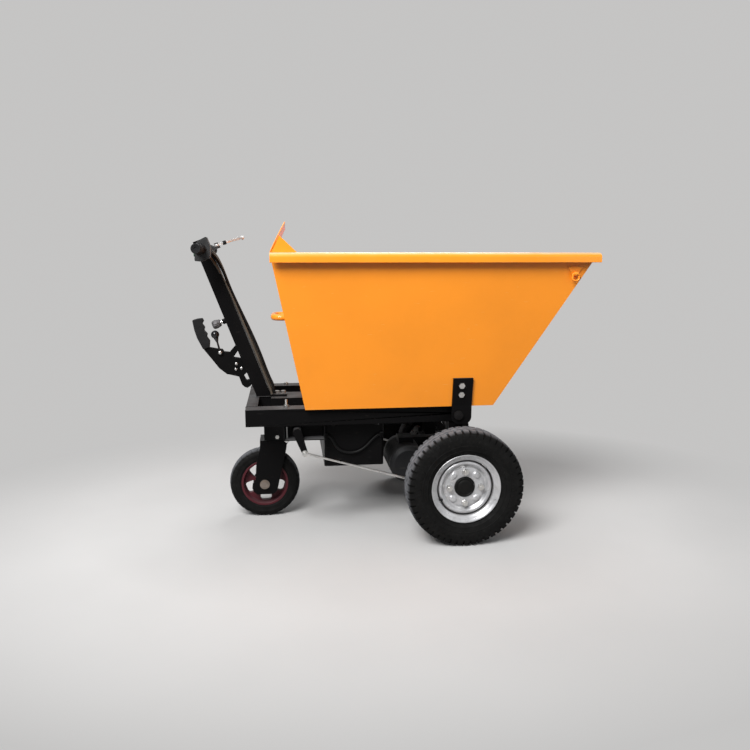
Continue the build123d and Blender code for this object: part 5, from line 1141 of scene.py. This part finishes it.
# Lamps: place, point that they face, size and power, in metres and watts
LAMPS = {
    "key": ((-1.8, -2.8, 3.5), (0.1, 0.0, 0.5), 2.2, 300.0),
    "fill": ((2.6, -2.6, 1.8), (0.2, 0.0, 0.5), 2.5, 18.0),
    "top": ((0.2, -0.4, 3.6), (0.2, -0.4, 0.0), 2.4, 15.0),
    "back": ((0.8, 2.7, 4.0), (0.0, 0.0, 0.6), 2.0, 90.0),
}
SKY = (0.93, 0.96, 1.0, 1.0)
SKY_STRENGTH = 0.18


def floor_material():
    """Matt floor that throws little light back at the object and, to the camera and in reflections, fades to
    an even pale grey away from it."""
    material, tree, shader = new_material("floor", roughness=0.9, Specular_IOR_Level=0.1)
    path = tree.nodes.new("ShaderNodeLightPath").outputs
    mirrored = combine(tree, "MAXIMUM", path["Is Glossy Ray"], path["Is Transmission Ray"])
    seen = combine(tree, "MAXIMUM", path["Is Camera Ray"], mirrored)
    pale = ramp(tree, noise(tree, scale=1.5, detail=5.0), (0.3, FLOOR_GREY), (0.7, FLOOR_PALE))
    tree.links.new(mix(tree, seen, FLOOR_BOUNCE, pale), shader.inputs["Base Color"])
    reach = tree.nodes.new("ShaderNodeMapping")
    reach.inputs["Scale"].default_value = FLOOR_REACH
    distance = tree.nodes.new("ShaderNodeVectorMath")
    distance.operation = "LENGTH"
    tree.links.new(own_place(tree), reach.inputs["Vector"])
    tree.links.new(reach.outputs["Vector"], distance.inputs[0])
    far = ramp(tree, distance.outputs["Value"], (FLOOR_FADE[0], 0.0), (FLOOR_FADE[1], 1.0))
    even = tree.nodes.new("ShaderNodeEmission")
    even.inputs["Color"].default_value = BACKDROP
    blend = tree.nodes.new("ShaderNodeMixShader")
    tree.links.new(combine(tree, "MULTIPLY", seen, far), blend.inputs["Fac"])
    tree.links.new(shader.outputs["BSDF"], blend.inputs[1])
    tree.links.new(even.outputs["Emission"], blend.inputs[2])
    tree.links.new(blend.outputs["Shader"], tree.nodes["Material Output"].inputs["Surface"])
    return material


def make_floor():
    """Pale floor that curves up into a backdrop."""
    mesh = bpy.data.meshes.new("floor")
    form = bmesh.new()
    profile = [(FLOOR_FRONT, 0.0)]
    for step in range(BACK_STEPS + 1):
        turn = step / BACK_STEPS * pi / 2
        profile.append((BACK_Y + BACK_R * sin(turn), BACK_R - BACK_R * cos(turn)))
    profile.append((BACK_Y + BACK_R, BACK_TOP))
    rows = []
    for y, z in profile:
        rows.append([form.verts.new((x, y, z)) for x in (-FLOOR_HALF, FLOOR_HALF)])
    for low, high in zip(rows, rows[1:]):
        form.faces.new((low[0], low[1], high[1], high[0]))
    form.to_mesh(mesh)
    form.free()
    for face in mesh.polygons:
        face.use_smooth = True
    floor = bpy.data.objects.new("floor", mesh)
    scene.collection.objects.link(floor)
    mesh.materials.append(floor_material())


def area_light(name, at, towards, size, power):
    """Square area lamp that faces a point."""
    data = bpy.data.lights.new(name, "AREA")
    data.shape = "SQUARE"
    data.size = size
    data.energy = power
    lamp = bpy.data.objects.new(name, data)
    lamp.location = at
    lamp.rotation_euler = (Vector(towards) - Vector(at)).to_track_quat("-Z", "Y").to_euler()
    scene.collection.objects.link(lamp)


def make_world():
    """Even pale sky light."""
    world = bpy.data.worlds.new("sky")
    world.use_nodes = True
    background = world.node_tree.nodes["Background"]
    background.inputs["Color"].default_value = SKY
    background.inputs["Strength"].default_value = SKY_STRENGTH
    scene.world = world


def make_camera():
    """Camera at the photograph's place and angle."""
    data = bpy.data.cameras.new("camera")
    data.lens = CAMERA_LENS
    data.sensor_width = CAMERA_SENSOR
    data.shift_y = CAMERA_SHIFT
    data.clip_end = CAMERA_FAR
    camera = bpy.data.objects.new("camera", data)
    camera.location = CAMERA_AT
    level = cos(CAMERA_PITCH)
    aim = Vector((sin(CAMERA_YAW) * level, cos(CAMERA_YAW) * level, -sin(CAMERA_PITCH)))
    camera.rotation_euler = aim.to_track_quat("-Z", "Y").to_euler()
    scene.collection.objects.link(camera)
    scene.camera = camera


make_floor()
for lamp_name, lamp_values in LAMPS.items():
    area_light(lamp_name, *lamp_values)
make_world()
make_camera()
